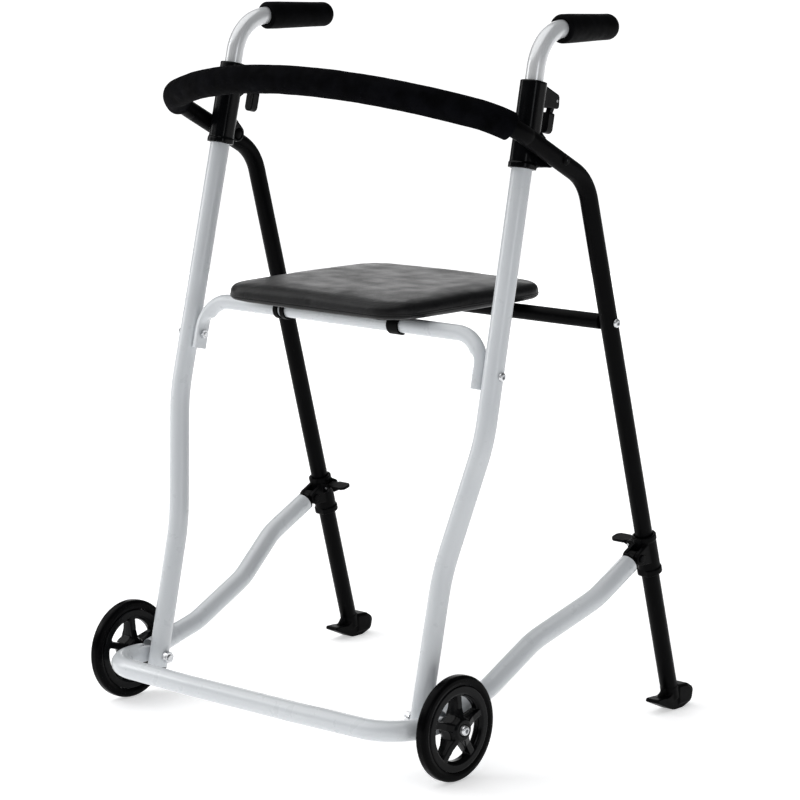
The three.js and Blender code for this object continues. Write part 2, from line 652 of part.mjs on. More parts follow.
const seatBolt = [0, uprightY(SEAT_BAR.boltZ), SEAT_BAR.boltZ];
inPlace("seat_bar_bolt", bolt(223.6, 267.2, SCREW_RADIUS, 5.6, 3), ZINC, seatBolt);
inPlace("seat_bar_nut", nut(224.8, 229.3, 5.8, SCREW_RADIUS + BOLT_GAP), ZINC, seatBolt);

const outside = LEG.x + LEG.radius + 0.3;
inPlace("crossbar_bolt", bolt(246, outside, SCREW_RADIUS, 5.6, 3), ZINC, [0, CROSSBAR.y, CROSSBAR.z]);
inPlace("skid", skid(), SATIN_PLASTIC, [LEG.x, LEG.footY, 0]);

const leanAngle = Math.atan(LEAN);
const splayAngle = Math.atan(SPLAY);
const onHousing = place(onUpright(HOUSING.z), [-leanAngle, -splayAngle, 0]);
onHousing("housing", housing(), GLOSS_PLASTIC);
onHousing("height_lever", heightLever(), GLOSS_PLASTIC);
const leverPin = rod([LEVER.middle - 6.8, 0, 0], [LEVER.middle + 6.8, 0, 0], LEVER.pinRadius, 12);
onHousing("lever_pin", leverPin, STEEL, [0, LEVER.pinY, LEVER.pinZ]);

const pivotBolt = join(bolt(253, outside, 4, 7, 3, 12), rod([252, 0, 0], [254.4, 0, 0], 6.4, 12));
inPlace("pivot_bolt", pivotBolt, ZINC, [0, PIVOT.y, PIVOT.z]);

const gripFrame = place(onUpright(HANDLE.corner));
const handleEnd = new THREE.Vector3(...HANDLE_END);
const handleAlong = handleEnd.sub(new THREE.Vector3(...onUpright(HANDLE.corner))).normalize();
const gripGeometry = grip().translate(GRIP.start, 0, 0)
  .applyQuaternion(new THREE.Quaternion().setFromUnitVectors(X, handleAlong));
gripFrame("grip", gripGeometry, GRIP_RUBBER);

const onAxle = place([0, WHEEL.y, WHEEL.radius]);
onAxle("axle_bolt", bolt(200.6, 290.9, AXLE_RADIUS, 7.6, 4.7, 16), ZINC);
onAxle("axle_nut", nut(202.4, 209.4, 7.5, AXLE_RADIUS + BOLT_GAP), ZINC);
const sleeveBore = rod([250, 0, 0], [300, 0, 0], AXLE_RADIUS + BOLT_GAP, 16);
onAxle("wheel_sleeve", cut(rod([260.8, 0, 0], [290.5, 0, 0], 6.4, 16), sleeveBore), STEEL);
onAxle("wheel_hub", wheelHub(), GLOSS_PLASTIC, [WHEEL.x, 0, 0]);
onAxle("tyre", tyre(), TYRE_RUBBER, [WHEEL.x, 0, 0]);

const onBlade = place([BRACE.x, WHEEL.y, WHEEL.radius], [bladeAngle, 0, 0]);
onBlade("brace_eye", braceEye(), ZINC);

const onBracePivot = place([LEG.x, BRACE_END.y, BRACE_END.z], [braceAngle, 0, 0]);
onBracePivot("brace_plug", bracePlug(), SATIN_PLASTIC);
onBracePivot("brace_rivet", rivet(BRACE.radius + 0.3, 2, 3.6, 1.6), BLACK_PAINT, [0, -24, 0]);
onBracePivot("brace_pivot_pin", rivet(12.4, 3, 5.4, 2.2), BLACK_PAINT);

const onCollar = place(onLeg(COLLAR.z), [legTilt, 0, 0]);
onCollar("collar", collar(), SATIN_PLASTIC);
onCollar("pedal", pedal(), SATIN_PLASTIC);
const pedalPin = rod([PEDAL.pinX, -11.6, PEDAL.pinZ], [PEDAL.pinX, 11.6, PEDAL.pinZ], 1.6, 12);
onCollar("pedal_pin", pedalPin, STEEL);

export default walkingFrame;
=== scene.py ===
import json
import math

import bmesh
import bpy
from mathutils import Matrix, Vector, noise
from mathutils.bvhtree import BVHTree


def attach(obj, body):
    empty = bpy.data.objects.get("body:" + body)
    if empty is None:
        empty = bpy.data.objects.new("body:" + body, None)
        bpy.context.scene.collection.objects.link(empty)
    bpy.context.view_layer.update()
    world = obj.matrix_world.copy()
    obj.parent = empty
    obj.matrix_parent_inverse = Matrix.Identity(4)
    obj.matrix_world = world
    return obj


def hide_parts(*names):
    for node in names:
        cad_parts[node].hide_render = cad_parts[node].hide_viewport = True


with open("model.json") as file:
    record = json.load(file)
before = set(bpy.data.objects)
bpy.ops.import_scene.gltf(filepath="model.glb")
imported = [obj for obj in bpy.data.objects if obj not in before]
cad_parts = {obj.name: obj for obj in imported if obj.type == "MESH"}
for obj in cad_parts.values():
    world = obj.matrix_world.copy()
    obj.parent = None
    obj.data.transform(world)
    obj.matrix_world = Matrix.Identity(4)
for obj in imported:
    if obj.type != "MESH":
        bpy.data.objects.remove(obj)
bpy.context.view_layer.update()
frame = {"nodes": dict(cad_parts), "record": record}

# A folding walking frame: white tubes, black plastic and foam, a vinyl seat and two spoked wheels.
# Dimensions are in millimetres, and meshes are written in metres. X is sideways, -Y is the front and Z is up.
MM = 0.001
X_AXIS = Vector((1, 0, 0))
Y_AXIS = Vector((0, 1, 0))
Z_AXIS = Vector((0, 0, 1))

# ---- Dimensions, the same as the CAD model's ---------------------------------------------------------------
WHEEL_X, AXLE_Y, AXLE_Z = 276.2, -186, 63.5
RIM_RADIUS, HUB_HALF, TYRE_HALF = 51.6, 14.2, 7.5
LEAN, SPLAY = 0.2293, 0.0165
UPRIGHT_RADIUS, UPRIGHT_LOW, UPRIGHT_HIGH, UPRIGHT_TOP = 12.5, 222.3, 255.4, 797.8
KNEE_LOW, KNEE_LOW_BEND, KNEE_HIGH, KNEE_HIGH_BEND = 232.8, 250, 389.7, 220
LOWER_X, LOWER_CORNER, LOWER_FRONT, LOWER_BEND = 247.8, 252.5, -256, 54
LOWER_NOSE, LOWER_NOSE_X, NOSE_BEND = -261.5, 90, 800
LUG_HALF = 9.5
SEAT_BAR_RADIUS, SEAT_BAR_X, SEAT_BAR_Z, SEAT_BAR_FOOT, SEAT_BAR_BOLT = 9.5, 231.6, 510.5, 448.5, 466.5
PIVOT_Y, PIVOT_Z = -3.5, 715
LEG_RADIUS, LEG_X, LEG_FOOT_Y, KNEE_Y, KNEE_Z, KNEE_BEND = 11.1, 277, 237, 48, 687.7, 60
BOW_RADIUS, BOW_CORNER, BOW_REACH, ARM_END = 500, 64, 191.5, 66
FOAM_RADIUS, FOAM_BORE, FOAM_TURN = 17.4, 12.4, 0.384
CROSSBAR_RADIUS, CROSSBAR_Y, CROSSBAR_Z = 9.5, 96.6, 511
HANDLE_RADIUS, HANDLE_FOOT, HANDLE_CORNER, HANDLE_BEND = 11, 560, 866, 55
HANDLE_END = (235.2, 143, 863.4)
GRIP_START, GRIP_LENGTH, GRIP_FRONT, GRIP_REAR = 41.1, 111.5, 17.5, 15.75
HOUSING_Z, HOUSING_HALF, HOUSING_HEIGHT = 705.5, 14.6, 103.6
LEVER_Y, LEVER_Z, LEVER_X = 46.3, 88, -5
BRACE_RADIUS, BRACE_BORE, BRACE_X, BRACE_START, BRACE_BEND = 12.5, 11.7, 248, 54, 90
BRACE_BEND_Y, BRACE_BEND_Z, BRACE_KINK_Y, BRACE_KINK_END = -93, 87, -8, 77
BRACE_PIN_Y, BRACE_PIN_Z, BRACE_CUT = 153, 209.5, 12.8
COLLAR_Z, COLLAR_HEIGHT, COLLAR_RADIUS, COLLAR_PIN_Y, COLLAR_PIN_Z = 185, 53, 14.6, -25.5, 32.4
PEDAL_X, PEDAL_Z, PEDAL_TIP = -18.7, 41, -49
SEAT_HALF, SEAT_FRONT, SEAT_REAR, SEAT_CORNER, SEAT_BOTTOM, SEAT_TOP = 150, -147, 143, 44, 522.5, 548
BOARD_INSET = 13
CLIP_X, CLIP_INNER, CLIP_OUTER, CLIP_WIDTH = 95, 9.95, 12.2, 18

# ---- Camera ------------------------------------------------------------------------------------------------
CAMERA_AZIMUTH = math.radians(41.785)
CAMERA_ELEVATION = math.radians(10.041)
CAMERA_TARGET = Vector((1.586, 25.007, 392.549))
CAMERA_DISTANCE = 3822.856
CAMERA_LENS = 136.587


# ---- Curves and outlines -----------------------------------------------------------------------------------
def fillet(before, corner, after, radius, degrees_per_step=3.5):
    """Points on the arc that rounds the corner between three points."""
    enter = (corner - before).normalized()
    leave = (after - corner).normalized()
    turn = enter.angle(leave)
    inward = (leave - enter * math.cos(turn)).normalized()
    start = corner - enter * radius * math.tan(turn / 2)
    steps = max(4, round(math.degrees(turn) / degrees_per_step))
    points = []
    for i in range(steps + 1):
        angle = turn * i / steps
        points.append(start + enter * radius * math.sin(angle) + inward * radius * (1 - math.cos(angle)))
    return points


def route(*corners):
    """A centre line: straight runs between corners (x, y, z, bend radius), and ends (x, y, z)."""
    at = [Vector(corner[:3]) for corner in corners]
    points = [at[0]]
    for i in range(1, len(at) - 1):
        points += fillet(at[i - 1], at[i], at[i + 1], corners[i][3])
    return points + [at[-1]]


def outline(*corners):
    """A closed outline from corners (a, b), or (a, b, radius) where the corner is round."""
    at = [Vector((corner[0], corner[1], 0)) for corner in corners]
    points = []
    for i, corner in enumerate(corners):
        if len(corner) == 2:
            points.append(at[i])
        else:
            points += fillet(at[i - 1], at[i], at[(i + 1) % len(at)], corner[2], 9)
    return [(point.x, point.y) for point in points]


def resampled(path, spacing):
    """The same path with points no further apart than the spacing."""
    points = [path[0]]
    for a, b in zip(path, path[1:]):
        steps = max(1, math.ceil((b - a).length / spacing))
        points += [a.lerp(b, i / steps) for i in range(1, steps + 1)]
    return points


# ---- Solids: (vertices, faces) in millimetres --------------------------------------------------------------
def skin(rings, closed):
    """Faces between rings of points; a ring of one point is a tip, and closed joins the last ring to the first."""
    vertices = [point for ring in rings for point in ring]
    starts = [sum(len(ring) for ring in rings[:i]) for i in range(len(rings))]
    order = list(range(len(rings))) + ([0] if closed else [])
    faces = []
    for a, b in zip(order, order[1:]):
        count = max(len(rings[a]), len(rings[b]))
        for i in range(count):
            j = (i + 1) % count
            corners = []
            for ring, index in ((a, i), (a, j), (b, j), (b, i)):
                corner = starts[ring] + index % len(rings[ring])
                if corner not in corners:
                    corners.append(corner)
            faces.append(corners)
    if not closed:
        for ring in (0, -1):
            if len(rings[ring]) > 1:
                faces.append([starts[ring] + i for i in range(len(rings[ring]))])
    return vertices, faces


def stations(path):
    """Each point of a path with its heading and two directions across it that don't twist along the way."""
    headings = []
    for i in range(len(path)):
        headings.append((path[min(i + 1, len(path) - 1)] - path[max(i - 1, 0)]).normalized())
    side = headings[0].orthogonal().normalized()
    made = []
    for i, heading in enumerate(headings):
        if i:
            side = headings[i - 1].rotation_difference(heading) @ side
        made.append((path[i], heading, side, heading.cross(side)))
    return made


def ring_at(station, radius, forward, sides):
    point, heading, side, up = station
    middle = point + heading * forward
    angles = [2 * math.pi * i / sides for i in range(sides)]
    return [middle + (side * math.cos(a) + up * math.sin(a)) * radius for a in angles]


def tube(path, outer, bore=0, lip=0.5, sides=40):
    """A pipe along a path with its outer end edges rounded; without a bore it is solid."""
    along = stations(path)
    first, last = along[0], along[-1]
    lips = []
    for step in range(4):
        angle = math.pi / 2 * step / 3
        lips.append((outer - lip + lip * math.sin(angle), lip - lip * math.cos(angle)))
    rings = [ring_at(first, radius, inset, sides) for radius, inset in lips]
    rings += [ring_at(station, outer, 0, sides) for station in along[1:-1]]
    rings += [ring_at(last, radius, -inset, sides) for radius, inset in reversed(lips)]
    if bore:
        rings += [ring_at(station, bore, 0, sides) for station in reversed(along)]
    return skin(rings, closed=bool(bore))


def hexagonal(angle):
    """How far a hexagon's side lies from its centre at an angle, as a share of its corner's distance."""
    return math.cos(math.pi / 6) / math.cos(angle % (math.pi / 3) - math.pi / 6)


def turned(profile, sides=64):
    """A body turned about the X axis from (radius, x) pairs; a third item "hex" makes that ring six-sided."""
    rings = []
    closed = profile[0][:2] == profile[-1][:2]
    for radius, along, *shape in profile[:-1] if closed else profile:
        if radius == 0:
            rings.append([Vector((along, 0, 0))])
            continue
        ring = []
        for i in range(sides):
            angle = 2 * math.pi * i / sides
            reach = radius * (hexagonal(angle) if shape else 1)
            ring.append(Vector((along, reach * math.cos(angle), reach * math.sin(angle))))
        rings.append(ring)
    return skin(rings, closed)


def prism(points, low, high, across):
    """An outline pushed from low to high along the across axis: "x" takes (y, z), "y" (x, z) and "z" (x, y)."""
    def place(a, b, c):
        return {"x": Vector((c, a, b)), "y": Vector((a, c, b)), "z": Vector((a, b, c))}[across]
    return skin([[place(a, b, level) for a, b in points] for level in (low, high)], closed=False)


def rod(start, end, radius, sides=40):
    return tube([Vector(start), Vector(end)], radius, lip=0.01, sides=sides)


def moved(solid, matrix):
    return [matrix @ Vector(point) for point in solid[0]], solid[1]


# ---- Meshes and pieces -------------------------------------------------------------------------------------
def mesh_of(*solids):
    """One mesh in metres from solids in millimetres."""
    vertices, faces = [], []
    for points, corners in solids:
        faces += [[len(vertices) + i for i in face] for face in corners]
        vertices += points
    mesh = bpy.data.meshes.new("mesh")
    mesh.from_pydata([tuple(point * MM) for point in vertices], [], faces)
    outward = bmesh.new()
    outward.from_mesh(mesh)
    bmesh.ops.recalc_face_normals(outward, faces=outward.faces)
    outward.to_mesh(mesh)
    outward.free()
    return mesh


def temporary(mesh):
    work = bpy.data.objects.new("temporary", mesh)
    bpy.context.collection.objects.link(work)
    return work


def applied(work, *helpers):
    """The mesh of an object with its modifiers applied; the object and its helpers are deleted."""
    bpy.context.view_layer.update()
    mesh = bpy.data.meshes.new_from_object(work.evaluated_get(bpy.context.evaluated_depsgraph_get()))
    for spent in (work, *helpers):
        bpy.data.objects.remove(spent)
    return mesh


def moulded(solids, cuts=(), voxel=0.8, relax=6):
    """A moulded part: overlapping solids become one skin with softly rounded edges, less the cuts."""
    work = temporary(mesh_of(*solids))
    helpers = []
    if cuts:
        helpers.append(temporary(mesh_of(*cuts)))
        boolean = work.modifiers.new("cut", "BOOLEAN")
        boolean.operation = "DIFFERENCE"
        boolean.solver = "EXACT"
        boolean.use_self = True
        boolean.object = helpers[0]
    remesh = work.modifiers.new("remesh", "REMESH")
    remesh.mode = "VOXEL"
    remesh.voxel_size = voxel * MM
    smooth = work.modifiers.new("smooth", "SMOOTH")
    smooth.factor = 0.5
    smooth.iterations = relax
    return applied(work, *helpers)


def bevelled(mesh, width, segments=3):
    work = temporary(mesh)
    bevel = work.modifiers.new("bevel", "BEVEL")
    bevel.width = width * MM
    bevel.segments = segments
    bevel.limit_method = "ANGLE"
    bevel.angle_limit = math.radians(40)
    return applied(work)


def put(name, mesh, body, slot, *nodes, sharp=34):
    """A piece of the object: it rides on a body, takes a slot's material and stands for the nodes."""
    piece = bpy.data.objects.new(name, mesh)
    bpy.context.collection.objects.link(piece)
    mesh.materials.clear()
    mesh.materials.append(MATERIALS[slot])
    mesh.shade_smooth()
    mesh.set_sharp_from_angle(angle=math.radians(sharp))
    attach(piece, body)
    if nodes:
        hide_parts(*nodes)
    return piece


def pair(name, mesh, body, slot, *nodes, sharp=34):
    """The right piece and its mirror image; {side} in a body's name is filled in."""
    for side, sign in (("right", 1), ("left", -1)):
        copy = mesh.copy()
        if sign < 0:
            copy.transform(Matrix.Scale(-1, 4, X_AXIS))
            copy.flip_normals()
        own = [f"{node}_{side}" for node in nodes]
        put(f"{name}_{side}", copy, body.format(side=side), slot, *own, sharp=sharp)


# ---- Materials ---------------------------------------------------------------------------------------------
class Finish:
    """A Principled material whose colour, roughness and relief come from procedural textures."""

    def __init__(self, name, **sockets):
        self.made = bpy.data.materials.new(name)
        self.made.use_nodes = True
        self.tree = self.made.node_tree
        self.shader = self.tree.nodes["Principled BSDF"]
        self.place = self.tree.nodes.new("ShaderNodeTexCoord").outputs["Object"]
        for socket, value in sockets.items():
            self.shader.inputs[socket.replace("_", " ")].default_value = value

    def link(self, source, target):
        self.tree.links.new(source, target)

    def noise(self, scale, detail=2.0, stretch=None):
        node = self.tree.nodes.new("ShaderNodeTexNoise")
        node.inputs["Scale"].default_value = scale
        node.inputs["Detail"].default_value = detail
        self.link(self.stretched(stretch), node.inputs["Vector"])
        return node.outputs[0]

    def cells(self, scale, feature="F1"):
        node = self.tree.nodes.new("ShaderNodeTexVoronoi")
        node.feature = feature
        node.inputs["Scale"].default_value = scale
        self.link(self.place, node.inputs["Vector"])
        return node.outputs["Distance"]

    def stretched(self, stretch):
        if not stretch:
            return self.place
        node = self.tree.nodes.new("ShaderNodeMapping")
        node.inputs["Scale"].default_value = stretch
        self.link(self.place, node.inputs["Vector"])
        return node.outputs["Vector"]

    def between(self, source, low, high, start=0.3, end=0.7):
        """A colour or grey value between low and high, as the source goes from start to end."""
        node = self.tree.nodes.new("ShaderNodeValToRGB")
        for element, position, value in zip(node.color_ramp.elements, (start, end), (low, high)):
            element.position = position
            element.color = (*value, 1) if isinstance(value, tuple) else (value, value, value, 1)
        self.link(source, node.inputs[0])
        return node.outputs[0]

    def product(self, first, second):
        node = self.tree.nodes.new("ShaderNodeMix")
        node.data_type = "RGBA"
        node.blend_type = "MULTIPLY"
        node.inputs["Factor"].default_value = 1
        self.link(first, node.inputs[6])
        self.link(second, node.inputs[7])
        return node.outputs[2]

    def colour(self, source):
        self.link(source, self.shader.inputs["Base Color"])

    def roughness(self, source, low, high):
        self.link(self.between(source, low, high), self.shader.inputs["Roughness"])

    def relief(self, *layers):
        """Bump from (source, height in millimetres) layers, the coarsest first."""
        normal = None
        for source, height in layers:
            node = self.tree.nodes.new("ShaderNodeBump")
            node.inputs["Distance"].default_value = height * MM
            self.link(source, node.inputs["Height"])
            if normal:
                self.link(normal, node.inputs["Normal"])
            normal = node.outputs["Normal"]
        self.link(normal, self.shader.inputs["Normal"])


def white_paint():
    """Cool white powder coat: faint orange peel, dust specks and slow changes of tone."""
    finish = Finish("white_paint", Coat_Weight=0.35, Coat_Roughness=0.12)
    tone = finish.between(finish.noise(14), (0.635, 0.66, 0.685), (0.665, 0.69, 0.71))
    specks = finish.between(finish.noise(900, 1), 0.92, 1.0, 0.26, 0.32)
    finish.colour(finish.product(tone, specks))
    finish.roughness(finish.noise(60, 3), 0.26, 0.36)
    finish.relief((finish.noise(420, 1), 0.05))
    return finish.made


def silver_paint():
    """Silver lacquer with fine metal flake on the handle tubes."""
    finish = Finish("silver_paint", Metallic=0.3, Coat_Weight=0.5, Coat_Roughness=0.1)
    tone = finish.between(finish.noise(18), (0.70, 0.715, 0.73), (0.74, 0.75, 0.76))
    flake = finish.between(finish.cells(5200), 0.96, 1.0, 0.2, 0.8)
    finish.colour(finish.product(tone, flake))
    finish.roughness(finish.noise(20, 2), 0.27, 0.31)
    finish.relief((finish.noise(500, 1), 0.008))
    return finish.made


def black_paint():
    """Satin black powder coat with orange peel and a few rubbed, slightly greyer patches."""
    finish = Finish("black_paint", Specular_IOR_Level=0.04)
    tone = finish.between(finish.noise(25, 4), (0.0008, 0.0008, 0.001), (0.0018, 0.0018, 0.0021))
    specks = finish.between(finish.noise(1100, 1), 2.2, 1.0, 0.24, 0.29)
    finish.colour(finish.product(tone, specks))
    finish.roughness(finish.noise(70, 3), 0.33, 0.45)
    finish.relief((finish.noise(480, 1), 0.06))
    return finish.made


def gloss_plastic():
    """Glossy black moulding: hair scratches in the gloss and a faint waviness."""
    finish = Finish("gloss_plastic", Specular_IOR_Level=0.1)
    finish.colour(finish.between(finish.noise(30, 3), (0.0008, 0.0009, 0.0012), (0.0018, 0.002, 0.0025)))
    finish.roughness(finish.noise(260, 4, stretch=(1, 1, 0.15)), 0.14, 0.27)
    finish.relief((finish.noise(45, 1), 0.12), (finish.noise(900, 2), 0.01))
    return finish.made


def satin_plastic():
    """Finely grained black plastic."""
    finish = Finish("satin_plastic", Specular_IOR_Level=0.045)
    finish.colour(finish.between(finish.noise(40, 4), (0.0009, 0.0009, 0.001), (0.0022, 0.0022, 0.0025)))
    finish.roughness(finish.noise(120, 3), 0.36, 0.5)
    finish.relief((finish.cells(1500), 0.03), (finish.noise(2600, 2), 0.02))
    return finish.made


def foam():
    """Closed-cell foam sleeve: matte, mottled and finely pitted, with soft dents, and painted shade darkening the pits.
    """
    finish = Finish("foam", Specular_IOR_Level=0.02)
    tone = finish.between(finish.noise(55, 5), (0.0008, 0.0008, 0.001), (0.0032, 0.0033, 0.0045))
    # Painted shade: the colour is darkened in the pits that the cell bump below sinks in.
    painted_pit_shade = finish.between(finish.cells(1300), 0.55, 1.0, 0.05, 0.45)
    finish.colour(finish.product(tone, painted_pit_shade))
    finish.roughness(finish.noise(90, 2), 0.72, 0.9)
    finish.relief((finish.noise(40, 2), 0.5), (finish.cells(1300), 0.16), (finish.noise(3000, 2), 0.05))
    return finish.made


def grip_rubber():
    """Soft matte grip rubber with a fine sandy skin."""
    finish = Finish("grip_rubber", Specular_IOR_Level=0.03)
    finish.colour(finish.between(finish.noise(60, 4), (0.0009, 0.0009, 0.001), (0.0026, 0.0026, 0.0032)))
    finish.roughness(finish.noise(110, 3), 0.52, 0.68)
    finish.relief((finish.noise(70, 2), 0.12), (finish.cells(1700), 0.07))
    return finish.made


def tyre_rubber():
    """Hard black tyre: smooth, a little dusty on the tread."""
    finish = Finish("tyre", Specular_IOR_Level=0.035)
    finish.colour(finish.between(finish.noise(48, 5), (0.0008, 0.0008, 0.001), (0.0022, 0.0022, 0.0025)))
    finish.roughness(finish.noise(75, 4), 0.2, 0.3)
    finish.relief((finish.noise(120, 2), 0.05), (finish.noise(1500, 2), 0.02))
    return finish.made


def vinyl():
    """Black leathercloth: pebbled grain in two sizes, with painted shade darkening its creases, and a broad soft sheen.
    """
    finish = Finish("vinyl", Specular_IOR_Level=0.24)
    grain = finish.cells(430, "SMOOTH_F1")
    tone = finish.between(finish.noise(22, 4), (0.0018, 0.0018, 0.0021), (0.0042, 0.0042, 0.005))
    # Painted shade: the colour is darkened along the creases between the grain's pebbles.
    painted_crease_shade = finish.between(grain, 1.0, 0.55, 0.35, 0.75)
    finish.colour(finish.product(tone, painted_crease_shade))
    finish.roughness(finish.noise(35, 4), 0.34, 0.48)
    finish.relief((finish.noise(30, 2), 0.15), (grain, -0.24), (finish.cells(1100), -0.08))
    return finish.made


def zinc():
    """Bright zinc plating with its cloudy spangle."""
    finish = Finish("zinc", Metallic=1.0)
    finish.colour(finish.between(finish.cells(260), (0.56, 0.57, 0.59), (0.78, 0.79, 0.80), 0.1, 0.9))
    finish.roughness(finish.noise(320, 4), 0.2, 0.36)
    finish.relief((finish.noise(800, 3), 0.02))
    return finish.made


def steel():
    """Plain drawn steel with fine turning lines."""
    finish = Finish("steel", Metallic=1.0)
    finish.colour(finish.between(finish.noise(90, 5), (0.34, 0.345, 0.355), (0.52, 0.525, 0.535)))
    finish.roughness(finish.noise(500, 3, stretch=(6, 1, 1)), 0.28, 0.46)
    finish.relief((finish.noise(1400, 2, stretch=(8, 1, 1)), 0.015))
    return finish.made


MATERIALS = {
    "white_paint": white_paint(),
    "silver_paint": silver_paint(),
    "black_paint": black_paint(),
    "gloss_plastic": gloss_plastic(),
    "satin_plastic": satin_plastic(),
    "foam": foam(),
    "grip_rubber": grip_rubber(),
    "tyre": tyre_rubber(),
    "vinyl": vinyl(),
    "zinc": zinc(),
    "steel": steel(),
}


# ---- Positions worked out from the dimensions --------------------------------------------------------------
def upright_y(z):
    return AXLE_Y + LEAN * (z - AXLE_Z)


def on_upright(z):
    return (UPRIGHT_HIGH - SPLAY * (z - KNEE_HIGH), upright_y(z), z)


LEG_SLOPE = (LEG_FOOT_Y - KNEE_Y) / KNEE_Z
LEG_TILT = math.atan(LEG_SLOPE)
ARM_TILT = math.atan2(PIVOT_Z - KNEE_Z, KNEE_Y - PIVOT_Y)


def on_leg(z):
    return (LEG_X, LEG_FOOT_Y - LEG_SLOPE * z, z)


def on_arm(x, forward):
    """A point in the sloping plane of the arms and the bow, at a distance forward of the fold pivot."""
    return (x, PIVOT_Y - forward * math.cos(ARM_TILT), PIVOT_Z + forward * math.sin(ARM_TILT))


BRACE_SLOPE = (BRACE_PIN_Z - BRACE_BEND_Z) / (BRACE_PIN_Y - BRACE_BEND_Y)
BRACE_TILT = math.atan(BRACE_SLOPE)
BLADE_TILT = math.atan2(BRACE_BEND_Z - AXLE_Z, BRACE_BEND_Y - AXLE_Y)


def on_brace(x, y):
    return (x, y, BRACE_BEND_Z + BRACE_SLOPE * (y - BRACE_BEND_Y))


def frame_at(point, turn_x=0.0, turn_y=0.0):
    return Matrix.Translation(point) @ Matrix.Rotation(turn_x, 4, "X") @ Matrix.Rotation(turn_y, 4, "Y")


AT_HOUSING = frame_at(on_upright(HOUSING_Z), -math.atan(LEAN), -math.atan(SPLAY))
AT_COLLAR = frame_at(on_leg(COLLAR_Z), LEG_TILT)
AT_BRACE_PIN = frame_at((LEG_X, BRACE_PIN_Y, BRACE_PIN_Z), BRACE_TILT)
AT_BLADE = frame_at((BRACE_X, AXLE_Y, AXLE_Z), BLADE_TILT)
AT_AXLE = Matrix.Translation((0, AXLE_Y, AXLE_Z))
AT_WHEEL = Matrix.Translation((WHEEL_X, AXLE_Y, AXLE_Z))


# ---- Front frame -------------------------------------------------------------------------------------------
def make_uprights():
    path = route(
        (UPRIGHT_LOW, upright_y(50), 50),
        (UPRIGHT_LOW, upright_y(KNEE_LOW), KNEE_LOW, KNEE_LOW_BEND),
        (*on_upright(KNEE_HIGH), KNEE_HIGH_BEND),
        on_upright(UPRIGHT_TOP),
    )
    pair("upright_tube", mesh_of(tube(path, UPRIGHT_RADIUS, 11.8)), "frame", "white_paint", "upright")
    foot = Vector(path[0])
    down = (path[0] - path[1]).normalized()
    cap = [(0, 2.2), (9, 2.2), (11.2, 1.6), (12.3, 0.2), (12.3, -0.3), (11.6, -0.5), (11.6, -16), (0, -16)]
    turn = Matrix.Translation(foot) @ X_AXIS.rotation_difference(down).to_matrix().to_4x4()
    pair("upright_cap", mesh_of(moved(turned(cap), turn)), "frame", "satin_plastic")


def make_lower_bar():
    path = route(
        (LOWER_X, AXLE_Y - 12, AXLE_Z),
        (LOWER_CORNER, LOWER_FRONT, AXLE_Z, LOWER_BEND),
        (LOWER_NOSE_X, LOWER_NOSE, AXLE_Z, NOSE_BEND),
        (-LOWER_NOSE_X, LOWER_NOSE, AXLE_Z, NOSE_BEND),
        (-LOWER_CORNER, LOWER_FRONT, AXLE_Z, LOWER_BEND),
        (-LOWER_X, AXLE_Y - 12, AXLE_Z),
    )
    put("lower_bar_tube", mesh_of(tube(path, 12.5, lip=3)), "frame", "white_paint", "lower_bar")
    ear = outline(
        (AXLE_Y - 22, AXLE_Z - LUG_HALF),
        (AXLE_Y + LUG_HALF, AXLE_Z - LUG_HALF, LUG_HALF - 0.1),
        (AXLE_Y + LUG_HALF, AXLE_Z + LUG_HALF, LUG_HALF - 0.1),
        (AXLE_Y - 22, AXLE_Z + LUG_HALF),
    )
    slot_half = 2.2
    for name, low, high in (("inner", -11.4, -slot_half), ("outer", slot_half, 11.4)):
        lug = bevelled(mesh_of(prism(ear, BRACE_X + low, BRACE_X + high, "x")), 1.8)
        pair(f"lower_bar_lug_{name}", lug, "frame", "white_paint")


def make_seat_bar():
    """The bar under the seat; its ends are pressed flat on the inside, where the nuts sit."""
    def end(side, z):
        return (side * SEAT_BAR_X, upright_y(z), z)
    path = route(
        end(1, SEAT_BAR_FOOT),
        (*end(1, SEAT_BAR_Z), 40),
        (*end(-1, SEAT_BAR_Z), 40),
        end(-1, SEAT_BAR_FOOT),
    )
    points, faces = tube(resampled(path, 6), SEAT_BAR_RADIUS, lip=0.8)
    flat = SEAT_BAR_X - 1.9
    for point in points:
        pressed = min(1, max(0, (492 - point.z) / 12))
        if abs(point.x) < flat and pressed and abs(point.x) > flat - 12:
            point.x += math.copysign((flat - abs(point.x)) * pressed, point.x)
    put("seat_bar_tube", mesh_of((points, faces)), "frame", "white_paint", "seat_bar")


